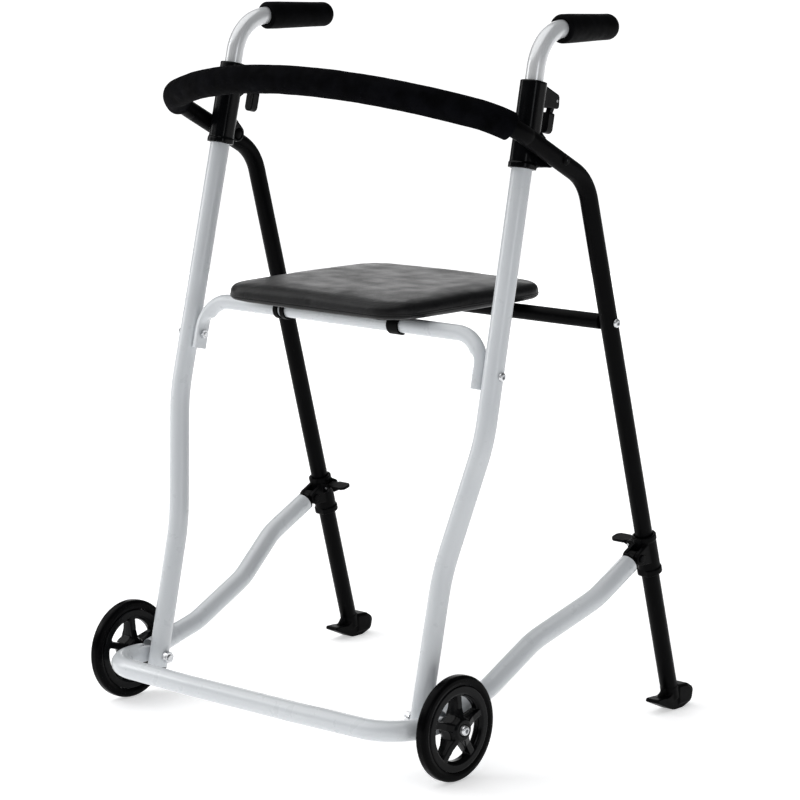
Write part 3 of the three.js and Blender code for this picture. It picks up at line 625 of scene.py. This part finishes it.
def make_housings():
    """Glossy plastic housing on each upright: barrel with a stepped rim, the lever's ear and the pivot's lug."""
    def square(half, corner):
        return outline((-half, -half, corner), (half, -half, corner), (half, half, corner), (-half, half, corner))
    half = HOUSING_HALF
    barrel = prism(square(half, 11), 0, HOUSING_HEIGHT, "z")
    rim = prism(square(half + 0.9, 11.6), 0, 6.5, "z")
    collar = prism(square(half - 1.2, 10.4), HOUSING_HEIGHT - 2, HOUSING_HEIGHT + 0.6, "z")
    ear_outline = outline((8, 103.4), (18, 103.4, 5), (49.5, 95.5, 5), (52, 79, 4), (8, 76))
    ear = prism(ear_outline, LEVER_X - 7, LEVER_X + 7, "x")
    web = prism(outline((10, 100), (22, 98), (22, 68, 6), (10, 58)), LEVER_X - 2.5, LEVER_X + 2.5, "x")
    lug_outline = outline((4, 2.5), (30.5, 6.8), (40.3, 24.2), (10, 46))
    lug = prism(lug_outline, 2, 15.3, "x")
    lug_end = rod((2, 32.3, 17.2), (15.3, 32.3, 17.2), 10.5)
    cuts = [
        rod((0, 0, -5), (0, 0, 95), 13),
        rod((0, 0, 50), (0, 0, 120), 11.6),
        prism([(26, 60), (60, 60), (60, 93.8), (26, 93.8)], LEVER_X - 3.8, LEVER_X + 3.8, "x"),
        rod((-4, 32.3, 17.2), (20, 32.3, 17.2), 4.8),
        rod((-4, 32.3, 17.2), (5.2, 32.3, 17.2), 7.4),
    ]
    solids = [barrel, rim, collar, ear, web, lug, lug_end]
    placed = [moved(solid, AT_HOUSING) for solid in solids]
    mesh = moulded(placed, [moved(tool, AT_HOUSING) for tool in cuts], voxel=0.8, relax=5)
    pair("housing_body", mesh, "frame", "gloss_plastic", "housing")


def make_levers():
    middle, half = LEVER_X, 6.5
    hub = rod((middle - 3, LEVER_Y, LEVER_Z), (middle + 3, LEVER_Y, LEVER_Z), 5)
    neck = prism(outline((37.6, 70), (45, 70), (50.6, LEVER_Z), (42.6, LEVER_Z)), middle - 3, middle + 3, "x")
    paddle_outline = outline(
        (middle - half, 48, half - 0.5),
        (middle + half, 48, half - 0.5),
        (middle + half, 73, 2),
        (middle - half, 73, 2),
    )
    paddle = prism(paddle_outline, 34.6, 45.4, "y")
    ribs = []
    for x in (-3.8, 0, 3.8):
        rib = outline((x - 0.9, 52, 0.8), (x + 0.9, 52, 0.8), (x + 0.9, 71, 0.8), (x - 0.9, 71, 0.8))
        ribs.append(prism([(middle + a, b) for a, b in rib], 44.5, 47.2, "y"))
    solids = [moved(solid, AT_HOUSING) for solid in (hub, neck, paddle, *ribs)]
    pair("lever", moulded(solids, voxel=0.5, relax=3), "lever_{side}", "gloss_plastic", "height_lever")
    pin = [(0, -7.1), (1.6, -7.1), (2, -6.7), (2, 6.7), (1.6, 7.1), (0, 7.1)]
    at = AT_HOUSING @ Matrix.Translation((middle, LEVER_Y, LEVER_Z))
    pair("lever_pin", mesh_of(moved(turned(pin, 32), at)), "frame", "steel", "lever_pin")


# ---- Fasteners ---------------------------------------------------------------------------------------------
def bolt_profile(tip, seat, shank, head, height, socket=True):
    """A bolt along X with a thread chamfer, a domed head and a hexagonal socket in it."""
    profile = [(0, tip), (shank - 0.6, tip), (shank, tip + 0.6), (shank, seat - 0.2), (head - 0.3, seat - 0.2)]
    profile += [(head, seat + 0.2)]
    dome = [(0.97, 0.4), (0.88, 0.68), (0.74, 0.87), (0.6, 0.97)]
    profile += [(head * share, seat + height * rise) for share, rise in dome]
    if socket:
        hollow = head * 0.5
        profile += [(hollow, seat + height), (hollow, seat + height - 0.1, "hex"), (hollow, seat + height * 0.4, "hex")]
        return profile + [(0, seat + height * 0.4)]
    return profile + [(head * 0.3, seat + height), (0, seat + height)]


def nut_profile(low, high, radius, hole):
    chamfer = 0.6
    flat = radius * 0.9
    return [
        (hole, low),
        (flat, low),
        (radius, low + chamfer, "hex"),
        (radius, high - chamfer, "hex"),
        (flat, high),
        (hole + 0.4, high),
        (hole, high - 0.4),
        (hole, low),
    ]


def make_fasteners():
    at_seat_bolt = Matrix.Translation((0, upright_y(SEAT_BAR_BOLT), SEAT_BAR_BOLT))
    at_pivot = Matrix.Translation((0, PIVOT_Y, PIVOT_Z))
    at_crossbar = Matrix.Translation((0, CROSSBAR_Y, CROSSBAR_Z))
    outside = LEG_X + LEG_RADIUS + 0.3
    bolts = (
        ("seat_bolt", bolt_profile(223.6, 267.2, 3, 5.6, 3), at_seat_bolt, "frame", "seat_bar_bolt"),
        ("pivot_screw", bolt_profile(253, outside, 4, 4.6, 1.5), at_pivot, "rear_frame", "pivot_bolt"),
        ("crossbar_screw", bolt_profile(246, outside, 3, 5.6, 3), at_crossbar, "rear_frame", "crossbar_bolt"),
        ("axle_screw", bolt_profile(200.6, 290.9, 4, 6.3, 4), AT_AXLE, "frame", "axle_bolt"),
    )
    for name, profile, at, body, node in bolts:
        pair(name, mesh_of(moved(turned(profile, 48), at)), body, "zinc", node)
    inner_head = [(0, 251.6), (5, 251.6), (6.4, 252.4), (6.4, 254.4), (0, 254.4)]
    pair("pivot_nut", mesh_of(moved(turned(inner_head, 48), at_pivot)), "rear_frame", "black_paint")
    low, high = outside, outside + 2
    cap = [(1.3, high), (4.2, high), (5.2, high - 0.6), (5.5, low), (4.9, low), (4.9, high - 0.3), (1.3, high - 0.3),
           (1.3, high)]
    pair("pivot_cap", mesh_of(moved(turned(cap, 48), at_pivot)), "rear_frame", "black_paint")
    seat_nut = mesh_of(moved(turned(nut_profile(224.8, 229.2, 5.8, 3.2), 48), at_seat_bolt))
    pair("seat_nut", seat_nut, "frame", "zinc", "seat_bar_nut")
    axle_nut = mesh_of(moved(turned(nut_profile(202.4, 209.4, 7.5, 4.3), 48), AT_AXLE))
    pair("axle_locknut", axle_nut, "frame", "zinc", "axle_nut")
    sleeve = [(4.5, 260.8), (6.2, 260.8), (6.4, 261.1), (6.4, 290.2), (6.2, 290.5), (4.5, 290.5), (4.5, 260.8)]
    pair("axle_sleeve", mesh_of(moved(turned(sleeve, 48), AT_AXLE)), "frame", "steel", "wheel_sleeve")


# ---- Handles -----------------------------------------------------------------------------------------------
def make_handles():
    path = route(on_upright(HANDLE_FOOT), (*on_upright(HANDLE_CORNER), HANDLE_BEND), HANDLE_END)
    pair("handle_pipe", mesh_of(tube(path, HANDLE_RADIUS, 9.8)), "handle_{side}", "silver_paint", "handle_tube")
    corner = Vector(on_upright(HANDLE_CORNER))
    along = (Vector(HANDLE_END) - corner).normalized()
    at = Matrix.Translation(corner) @ X_AXIS.rotation_difference(along).to_matrix().to_4x4()
    length, front, rear = GRIP_LENGTH, GRIP_FRONT, GRIP_REAR
    shape = outline(
        (0, 104),
        (11.6, 104),
        (11.6, 0, 1.2),
        (front, 0, 4),
        (front, 20, 60),
        (rear + 0.3, length - 30, 60),
        (rear, length, 12),
        (0, length),
    )
    profile = [(radius if radius > 0.01 else 0, GRIP_START + x) for radius, x in shape]
    pair("grip_sleeve", mesh_of(moved(turned(profile), at)), "handle_{side}", "grip_rubber", "grip")


# ---- Rear frame --------------------------------------------------------------------------------------------
def bow_route(lead, turn):
    """Centre line of the backrest bow; it starts before or part way round the corner of each arm."""
    centre = BOW_REACH - BOW_RADIUS
    spread = math.acos((LEG_X - BOW_CORNER) / (BOW_RADIUS - BOW_CORNER))
    bend_from = centre + (BOW_RADIUS - BOW_CORNER) * math.sin(spread)
    apex = centre + BOW_RADIUS / math.sin(spread)
    ahead = BOW_CORNER * math.tan((spread - turn) / 2)

    def on_corner(side, run):
        across = LEG_X - BOW_CORNER * (1 - math.cos(turn)) - run * math.sin(turn)
        return on_arm(side * across, bend_from + BOW_CORNER * math.sin(turn) + run * math.cos(turn))

    return route(
        on_corner(1, -lead),
        (*on_corner(1, ahead), BOW_CORNER),
        (*on_arm(0, apex), BOW_RADIUS),
        (*on_corner(-1, ahead), BOW_CORNER),
        on_corner(-1, -lead),
    )


def make_rear_frame():
    leg = route(on_leg(18), (LEG_X, KNEE_Y, KNEE_Z, KNEE_BEND), on_arm(LEG_X, ARM_END + 0.3))
    pair("rear_leg_tube", mesh_of(tube(leg, LEG_RADIUS, 9.6, lip=0.02)), "rear_frame", "black_paint", "rear_leg")
    bow = resampled(bow_route(5.8, 0), 6)
    put("backrest_pipe", mesh_of(tube(bow, LEG_RADIUS, 9.6, lip=0.02)), "rear_frame", "black_paint", "backrest_tube")
    end = LEG_X - LEG_RADIUS - 0.5
    bar = tube([Vector((-end, CROSSBAR_Y, CROSSBAR_Z)), Vector((end, CROSSBAR_Y, CROSSBAR_Z))], CROSSBAR_RADIUS)
    put("crossbar_tube", mesh_of(bar), "rear_frame", "black_paint", "rear_crossbar")

    points, faces = tube(resampled(bow_route(0.5, FOAM_TURN), 5), FOAM_RADIUS, FOAM_BORE, lip=2.6, sides=56)
    for point in points:
        point += noise.noise_vector(point * 0.035) * 0.35 + noise.noise_vector(point * 0.16) * 0.12
    put("backrest_sleeve", mesh_of((points, faces)), "rear_frame", "foam", "backrest_foam")


def make_skids():
    """Rubber shoe under each leg: a thin upturned tongue in front, a ramp and a bulbous heel."""
    side = outline(
        (-43.5, 14.8, 1.4),
        (-10, 0, 12),
        (11, 0, 12),
        (28, 6, 9),
        (31.5, 22, 8),
        (18, 30.5, 8),
        (0, 31),
        (-18, 18, 9),
        (-42, 19.2, 1.4),
    )
    shoe = prism(side, -10.2, 10.2, "x")
    heel = prism(outline((0, 6), (24, 6, 6), (27, 20, 6), (16, 28, 6), (0, 28)), -11.8, 11.8, "x")
    ankle = rod((0, -14 * math.sin(LEG_TILT), 14), (0, -31 * math.sin(LEG_TILT), 31), LEG_RADIUS + 0.5)
    gusset = prism([(-32, 16), (-8, 16), (-12, 33), (-17, 33)], -2.4, 2.4, "x")
    at = Matrix.Translation((LEG_X, LEG_FOOT_Y, 0))
    solids = [moved(solid, at) for solid in (shoe, heel, ankle, gusset)]
    pair("skid_shoe", moulded(solids, voxel=0.8, relax=7), "rear_frame", "satin_plastic", "skid")


# ---- Side braces -------------------------------------------------------------------------------------------
def make_braces():
    start_y = AXLE_Y + BRACE_START * math.cos(BLADE_TILT)
    start_z = AXLE_Z + BRACE_START * math.sin(BLADE_TILT)
    path = route(
        (BRACE_X, start_y, start_z),
        (*on_brace(BRACE_X, BRACE_BEND_Y), BRACE_BEND),
        (*on_brace(BRACE_X, BRACE_KINK_Y), BRACE_BEND),
        (*on_brace(LEG_X, BRACE_KINK_END), BRACE_BEND),
        on_brace(LEG_X, BRACE_PIN_Y - BRACE_CUT * math.cos(BRACE_TILT)),
    )
    pair("brace_tube", mesh_of(tube(path, BRACE_RADIUS, BRACE_BORE)), "brace_{side}", "white_paint", "brace")

    core = rod((0, -38, 0), (0, -12, 0), BRACE_BORE - 0.8)
    flange = rod((0, -12.5, 0), (0, -10, 0), BRACE_RADIUS - 0.2)
    neck = rod((0, -12, 0), (0, -4, 0), 8)
    tongue = prism(outline((-14, -7.6), (0, -7.6), (0, 7.6), (-14, 7.6)), -6, 6, "x")
    tab = prism(outline((-12.6, 9), (-9.4, 9), (-9.4, 13.6, 1), (-12.6, 13.6, 1)), -3, 3, "x")
    eye = rod((-6, 0, 0), (6, 0, 0), 8.4)
    solids = [moved(solid, AT_BRACE_PIN) for solid in (core, flange, neck, tongue, tab, eye)]
    pair("brace_end_plug", moulded(solids, voxel=0.6, relax=4), "brace_{side}", "satin_plastic", "brace_plug")

    def rivet(half, shank, head, height, along):
        dome = [(head, half), (head, half + height * 0.3), (head * 0.8, half + height * 0.8), (0, half + height)]
        right = [(shank, half), *dome]
        left = [(radius, -x) for radius, x in reversed(right)]
        return moved(turned(left + right, 32), AT_BRACE_PIN @ Matrix.Translation((0, along, 0)))
    pair("brace_end_rivet", mesh_of(rivet(BRACE_RADIUS - 1.5, 2, 3.2, 0.9, -24)), "brace_{side}", "black_paint",
         "brace_rivet")
    pair("brace_rivet_head", mesh_of(rivet(BRACE_RADIUS - 0.3, 3, 3.8, 0.9, -24)), "brace_{side}", "white_paint")
    pair("brace_end_pin", mesh_of(rivet(12.4, 3, 5.4, 2.2, 0)), "collar_{side}", "black_paint", "brace_pivot_pin")

    blade = prism(outline((0, -4), (66, -4, 3), (66, 4, 3), (0, 4)), -1.8, 1.8, "x")
    eye = [(4.4, -1.8), (8.6, -1.8), (9, -1.4), (9, 1.4), (8.6, 1.8), (4.4, 1.8), (4.4, -1.8)]
    solids = [moved(blade, AT_BLADE), moved(turned(eye, 48), AT_BLADE)]
    pair("brace_blade", moulded(solids, voxel=0.5, relax=2), "eye_{side}", "zinc", "brace_eye")
    sleeve = tube([Vector((0, 10.2, 0)), Vector((0, BRACE_START - 0.4, 0))], 13, 12.65, lip=0.2)
    pair("brace_socket", mesh_of(moved(sleeve, AT_BLADE)), "eye_{side}", "white_paint")


def make_collars():
    """Sliding collar on each leg, with bulging rims, two cheeks for the brace and two ears for the pedal."""
    height, radius = COLLAR_HEIGHT, COLLAR_RADIUS
    solids = [
        rod((0, 0, 0), (0, 0, height), radius - 0.3),
        rod((0, 0, 0.4), (0, 0, 8), radius + 1.1),
        rod((0, 0, height - 7), (0, 0, height - 0.2), radius + 0.6),
    ]
    pin_y, pin_z = COLLAR_PIN_Y, COLLAR_PIN_Z
    cheek = outline((-4, 17), (pin_y - 2, pin_z - 8.8), (pin_y - 2, pin_z + 8.8), (-4, 46))
    for x in (-12, 6.5):
        solids += [prism(cheek, x, x + 5.5, "x"), rod((x, pin_y, pin_z), (x + 5.5, pin_y, pin_z), 9)]
    ear = outline((-10, 32), (-20, 35, 2), (-22.4, 45, 3), (-10, 47))
    solids += [prism(ear, y, y + 3.6, "y") for y in (-10.8, 7.2)]
    cuts = [
        rod((0, 0, -5), (0, 0, height + 5), 11.7),
        prism([(pin_y - 20, -1), (0.5 - radius, -1), (0.5 - radius, 60), (pin_y - 20, 60)], -6.5, 6.5, "x"),
    ]
    placed = [moved(solid, AT_COLLAR) for solid in solids]
    mesh = moulded(placed, [moved(tool, AT_COLLAR) for tool in cuts], voxel=0.7, relax=5)
    pair("collar_body", mesh, "collar_{side}", "satin_plastic", "collar")


def make_pedals():
    x, z = PEDAL_X, PEDAL_Z
    hub = rod((x, -6.7, z), (x, 6.7, z), 3.6)
    tread = outline(
        (x, -6.7), (x - 6, -6.7), (x - 9, -9.2, 2), (PEDAL_TIP, -9.2, 7.5),
        (PEDAL_TIP, 9.2, 7.5), (x - 9, 9.2, 2), (x - 6, 6.7), (x, 6.7),
    )
    top = prism(tread, z - 0.5, z + 3, "z")
    gusset = prism(outline((x - 2, z), (PEDAL_TIP + 6, z), (x - 3, z - 10, 2)), -2, 2, "y")
    solids = [moved(solid, AT_COLLAR) for solid in (hub, top, gusset)]
    pair("pedal_tread", moulded(solids, voxel=0.5, relax=4), "pedal_{side}", "satin_plastic", "pedal")
    pin = rod((x, -11.6, z), (x, 11.6, z), 1.6, 24)
    pair("pedal_axle", mesh_of(moved(pin, AT_COLLAR)), "collar_{side}", "steel", "pedal_pin")


# ---- Wheels ------------------------------------------------------------------------------------------------
def make_wheels():
    end = HUB_HALF
    half_profile = [
        (RIM_RADIUS, 6.9), (51, 7.3), (43.2, 7.2), (41.4, 6.4), (40.2, 4.4), (38.6, 3.6), (19.6, 3.6), (17.6, 5),
        (15.4, 9), (13.8, end - 1.6), (12.9, end - 0.4), (11.8, end), (7, end),
    ]
    left = [(radius, -x) for radius, x in reversed(half_profile)]
    body = turned(left + half_profile + [left[0]], 120)
    spoke_half, inner, outer = 4.6, 17.5, 38.6
    def at(radius, share):
        angle = share * (math.pi / 5 - math.asin(spoke_half / radius))
        return (radius * math.sin(angle), radius * math.cos(angle))
    arc = [at(outer, share / 6) for share in range(-4, 5)]
    opening = outline((*at(inner, -1), 1.4), (*at(outer, -1), 2.6), *arc, (*at(outer, 1), 2.6), (*at(inner, 1), 1.4))
    ribs, openings = [], []
    for i in range(5):
        turn = Matrix.Rotation(i * math.tau / 5, 4, "X")
        rib = [(-12.2, 8), (12.2, 8), (11.4, 15), (8, 25), (6.4, 41.5), (-6.4, 41.5), (-8, 25), (-11.4, 15)]
        ribs.append(moved(prism(rib, -4.3, 4.3, "y"), turn))
        openings.append(moved(prism(opening, -20, 20, "x"), turn @ Matrix.Rotation(math.pi / 5, 4, "X")))
    solids = [moved(solid, AT_WHEEL) for solid in (body, *ribs)]
    mesh = moulded(solids, [moved(tool, AT_WHEEL) for tool in openings], voxel=0.7, relax=4)
    pair("wheel_body", mesh, "wheel_{side}", "gloss_plastic", "wheel_hub")

    half = TYRE_HALF
    section = outline(
        (RIM_RADIUS + 0.3, -half + 1, 0.8), (56, -half, 3), (63.5, -half + 0.6, 4.6),
        (63.5, half - 0.6, 4.6), (56, half, 3), (RIM_RADIUS + 0.3, half - 1, 0.8),
    )
    tyre = turned(section + [section[0]], 128)
    pair("tyre_ring", mesh_of(moved(tyre, AT_WHEEL)), "wheel_{side}", "tyre", "tyre")


# ---- Seat --------------------------------------------------------------------------------------------------
PAD_INSET = 4  # how much smaller the pad starts, before it swells
PAD_CAP = 5  # how far the simulation may move any point of it
PAD_FLOOR, PAD_TOP = 524.2, 550  # its underside stays flat on the board
PAD_PROFILE = ((3.5, 524.4), (1, 526), (0, 528.5), (0, 538.5), (2.2, 543.8), (7.5, 547.8), (16, 549.6))  # (inset, z)


def seat_outline(inset, corner):
    half = SEAT_HALF - inset
    front, rear = SEAT_FRONT + inset, SEAT_REAR - inset
    return outline((-half, front, corner), (half, front, corner), (half, rear, corner), (-half, rear, corner))


def swollen(mesh):
    """The pad's mesh blown up by a cloth simulation, with each point's movement capped."""
    work = temporary(mesh)
    cloth = work.modifiers.new("swell", "CLOTH")
    settings = cloth.settings
    settings.quality = 5
    settings.use_pressure = True
    settings.uniform_pressure_force = 1.2
    settings.effector_weights.gravity = 0
    settings.tension_stiffness = 25
    settings.compression_stiffness = 12
    settings.bending_stiffness = 6
    scene = bpy.context.scene
    for step in range(1, 21):
        scene.frame_set(step)
    rest = [vertex.co.copy() for vertex in mesh.vertices]
    result = applied(work)
    scene.frame_set(1)
    for vertex, start in zip(result.vertices, rest):
        shift = vertex.co - start
        if shift.length > PAD_CAP * MM:
            vertex.co = start + shift.normalized() * PAD_CAP * MM
    return result


def fit_pad(mesh):
    """Scale the swollen pad to the seat's length, width and height, with a flat underside."""
    for vertex in mesh.vertices:
        vertex.co.z = max(vertex.co.z, PAD_FLOOR * MM)
    targets = ((-SEAT_HALF, SEAT_HALF), (SEAT_FRONT, SEAT_REAR), (PAD_FLOOR, PAD_TOP))
    for axis, (low, high) in enumerate(targets):
        values = [vertex.co[axis] for vertex in mesh.vertices]
        least, most = min(values), max(values)
        scale = (high - low) * MM / (most - least)
        for vertex in mesh.vertices:
            vertex.co[axis] = low * MM + (vertex.co[axis] - least) * scale


def make_seat():
    rings = []
    for inset, z in PAD_PROFILE:
        shape = seat_outline(PAD_INSET + inset, SEAT_CORNER - PAD_INSET - inset)
        rings.append([Vector((x, y, z)) for x, y in shape])
    work = temporary(mesh_of(skin(rings, closed=False)))
    remesh = work.modifiers.new("remesh", "REMESH")
    remesh.mode = "VOXEL"
    remesh.voxel_size = 3.5 * MM
    mesh = applied(work)
    mesh = swollen(mesh)
    work = temporary(mesh)
    smooth = work.modifiers.new("smooth", "SMOOTH")
    smooth.iterations = 4
    subdivide = work.modifiers.new("subdivide", "SUBSURF")
    subdivide.levels = 1
    subdivide.render_levels = 1
    mesh = applied(work)
    fit_pad(mesh)
    pad = put("seat_pad", mesh, "seat", "vinyl", "seat_cushion", sharp=80)
    make_seams(mesh)

    board = bevelled(mesh_of(prism(seat_outline(BOARD_INSET, SEAT_CORNER - BOARD_INSET), 522.9, 526.5, "z")), 1.2)
    put("seat_base", board, "seat", "satin_plastic", "seat_board")


def make_seams(mesh):
    """A welt round the pad a little above its bottom, and the stitches below it."""
    tree = BVHTree.FromPolygons([v.co for v in mesh.vertices], [p.vertices for p in mesh.polygons])
    middle_y = (SEAT_FRONT + SEAT_REAR) / 2

    def on_pad(x, y, z, proud):
        inward = Vector((-x, middle_y - y, 0)).normalized()
        start = Vector((x, y, z)) * MM - inward * 20 * MM
        hit = tree.ray_cast(start, inward)[0]
        return (hit or start) / MM - inward * proud

    shape = [Vector((x, y, 0)) for x, y in seat_outline(6, SEAT_CORNER - 6)]
    around = resampled(shape + [shape[0]], 4)
    welt = [on_pad(point.x, point.y, 531.6, 0.05) for point in around[:-1]]
    rings = []
    for i, point in enumerate(welt):
        heading = (welt[(i + 1) % len(welt)] - welt[i - 1]).normalized()
        side = heading.cross(Z_AXIS).normalized()
        rings.append(ring_at((point, heading, side, heading.cross(side)), 0.6, 0, 12))
    put("seat_welt", mesh_of(skin(rings, closed=True)), "seat", "vinyl")
    stitches = []
    for i in range(0, len(welt) - 1):
        a = welt[i] - Z_AXIS * 2.1
        b = a.lerp(welt[i + 1] - Z_AXIS * 2.1, 0.6)
        outward = Vector((a.x, a.y - middle_y, 0)).normalized() * 0.15
        stitches.append(tube([a + outward, b + outward], 0.32, lip=0.15, sides=6))
    put("seat_stitches", mesh_of(*stitches), "seat", "satin_plastic")


def make_clips():
    """Clips that hook round the seat bar: a wide band on the right, and two narrow hooks on the left."""
    y, z = upright_y(SEAT_BAR_Z), SEAT_BAR_Z

    def hook(x0, x1):
        start, end, steps = math.radians(-5), math.radians(285), 40
        angles = [start + (end - start) * i / steps for i in range(steps + 1)]
        outer = [(y + CLIP_OUTER * math.cos(a), z + CLIP_OUTER * math.sin(a)) for a in angles]
        inner = [(y + CLIP_INNER * math.cos(a), z + CLIP_INNER * math.sin(a)) for a in reversed(angles)]
        flange = [(y, z + CLIP_OUTER - 1.9), (y + 24, z + CLIP_OUTER - 1.9), (y + 24, z + CLIP_OUTER), (y, z + CLIP_OUTER)]
        return [prism(outer + inner, x0, x1, "x"), prism(flange, x0, x1, "x")]

    half = CLIP_WIDTH / 2
    bore = rod((-300, y, z), (300, y, z), CLIP_INNER - 0.03)
    right = moulded(hook(CLIP_X - half, CLIP_X + half), [bore], voxel=0.45, relax=2)
    put("clip_right", right, "seat", "satin_plastic", "seat_clip_right")
    bridge = prism([(y + 2, z + 10.6), (y + 24, z + 10.6), (y + 24, z + 12.2), (y + 2, z + 12.2)],
                   -CLIP_X - half, -CLIP_X + half, "x")
    hooks = hook(-CLIP_X - half, -CLIP_X - 2.2) + hook(-CLIP_X + 2.2, -CLIP_X + half)
    left = moulded([*hooks, bridge], [bore], voxel=0.45, relax=2)
    put("clip_left", left, "seat", "satin_plastic", "seat_clip_left")


# ---- Studio ------------------------------------------------------------------------------------------------
def make_floor():
    points, faces = prism([(40000 * math.cos(a), 40000 * math.sin(a)) for a in
                           (math.tau * i / 64 for i in range(64))], -20, -0.3, "z")
    floor = bpy.data.objects.new("floor", mesh_of((points, faces)))
    bpy.context.collection.objects.link(floor)
    finish = Finish("floor", Roughness=0.8, Specular_IOR_Level=0.1, Emission_Strength=0.5)
    finish.shader.inputs["Emission Color"].default_value = (1, 1, 1, 1)
    finish.colour(finish.between(finish.noise(1.5), (0.86, 0.86, 0.865), (0.88, 0.88, 0.885)))
    floor.data.materials.append(finish.made)


def make_light(name, kind, place, energy, size=1.0, colour=(1, 1, 1)):
    light = bpy.data.lights.new(name, kind)
    light.energy = energy
    light.color = colour
    if kind == "SUN":
        light.angle = size
    else:
        light.shape = "RECTANGLE"
        light.size = size
        light.size_y = size * 1.6
    lamp = bpy.data.objects.new(name, light)
    lamp.location = place
    lamp.rotation_mode = "QUATERNION"
    lamp.rotation_quaternion = (Vector((0, 0, 0.45)) - Vector(place)).to_track_quat("-Z", "Y")
    bpy.context.collection.objects.link(lamp)


def make_studio():
    scene = bpy.context.scene
    make_floor()
    make_light("overhead", "SUN", (-1.15, -0.75, 3.4), 2.0, math.radians(80))
    make_light("key", "AREA", (-3.0, -1.6, 1.5), 22, 1.1)
    make_light("fill", "AREA", (3.3, -1.2, 1.3), 9, 0.7, (0.95, 0.97, 1))
    make_light("rim", "AREA", (-2.6, 3.0, 1.1), 22, 1.8)
    world = bpy.data.worlds.new("studio")
    world.use_nodes = True
    world.node_tree.nodes["Background"].inputs["Color"].default_value = (0.97, 0.985, 1, 1)
    world.node_tree.nodes["Background"].inputs["Strength"].default_value = 0.14
    scene.world = world
    scene.view_settings.view_transform = "Standard"

    back = Vector((
        math.sin(CAMERA_AZIMUTH) * math.cos(CAMERA_ELEVATION),
        -math.cos(CAMERA_AZIMUTH) * math.cos(CAMERA_ELEVATION),
        math.sin(CAMERA_ELEVATION),
    ))
    lens = bpy.data.cameras.new("camera")
    lens.lens = CAMERA_LENS
    lens.sensor_width = 36
    lens.clip_end = 100
    camera = bpy.data.objects.new("camera", lens)
    camera.location = (CAMERA_TARGET + back * CAMERA_DISTANCE) * MM
    camera.rotation_mode = "QUATERNION"
    camera.rotation_quaternion = (-back).to_track_quat("-Z", "Y")
    bpy.context.collection.objects.link(camera)
    scene.camera = camera


def dress_frame_nodes():
    """The CAD nodes that stay in view take the same materials as the pieces, by their slots in the record."""
    for part in frame["record"]["subparts"]:
        data = frame["nodes"][part["node"]].data
        data.materials.clear()
        data.materials.append(MATERIALS[part["material_slot"]])


dress_frame_nodes()
make_studio()
make_uprights()
make_lower_bar()
make_seat_bar()
make_housings()
make_levers()
make_fasteners()
make_handles()
make_rear_frame()
make_skids()
make_braces()
make_collars()
make_pedals()
make_wheels()
make_seat()
make_clips()
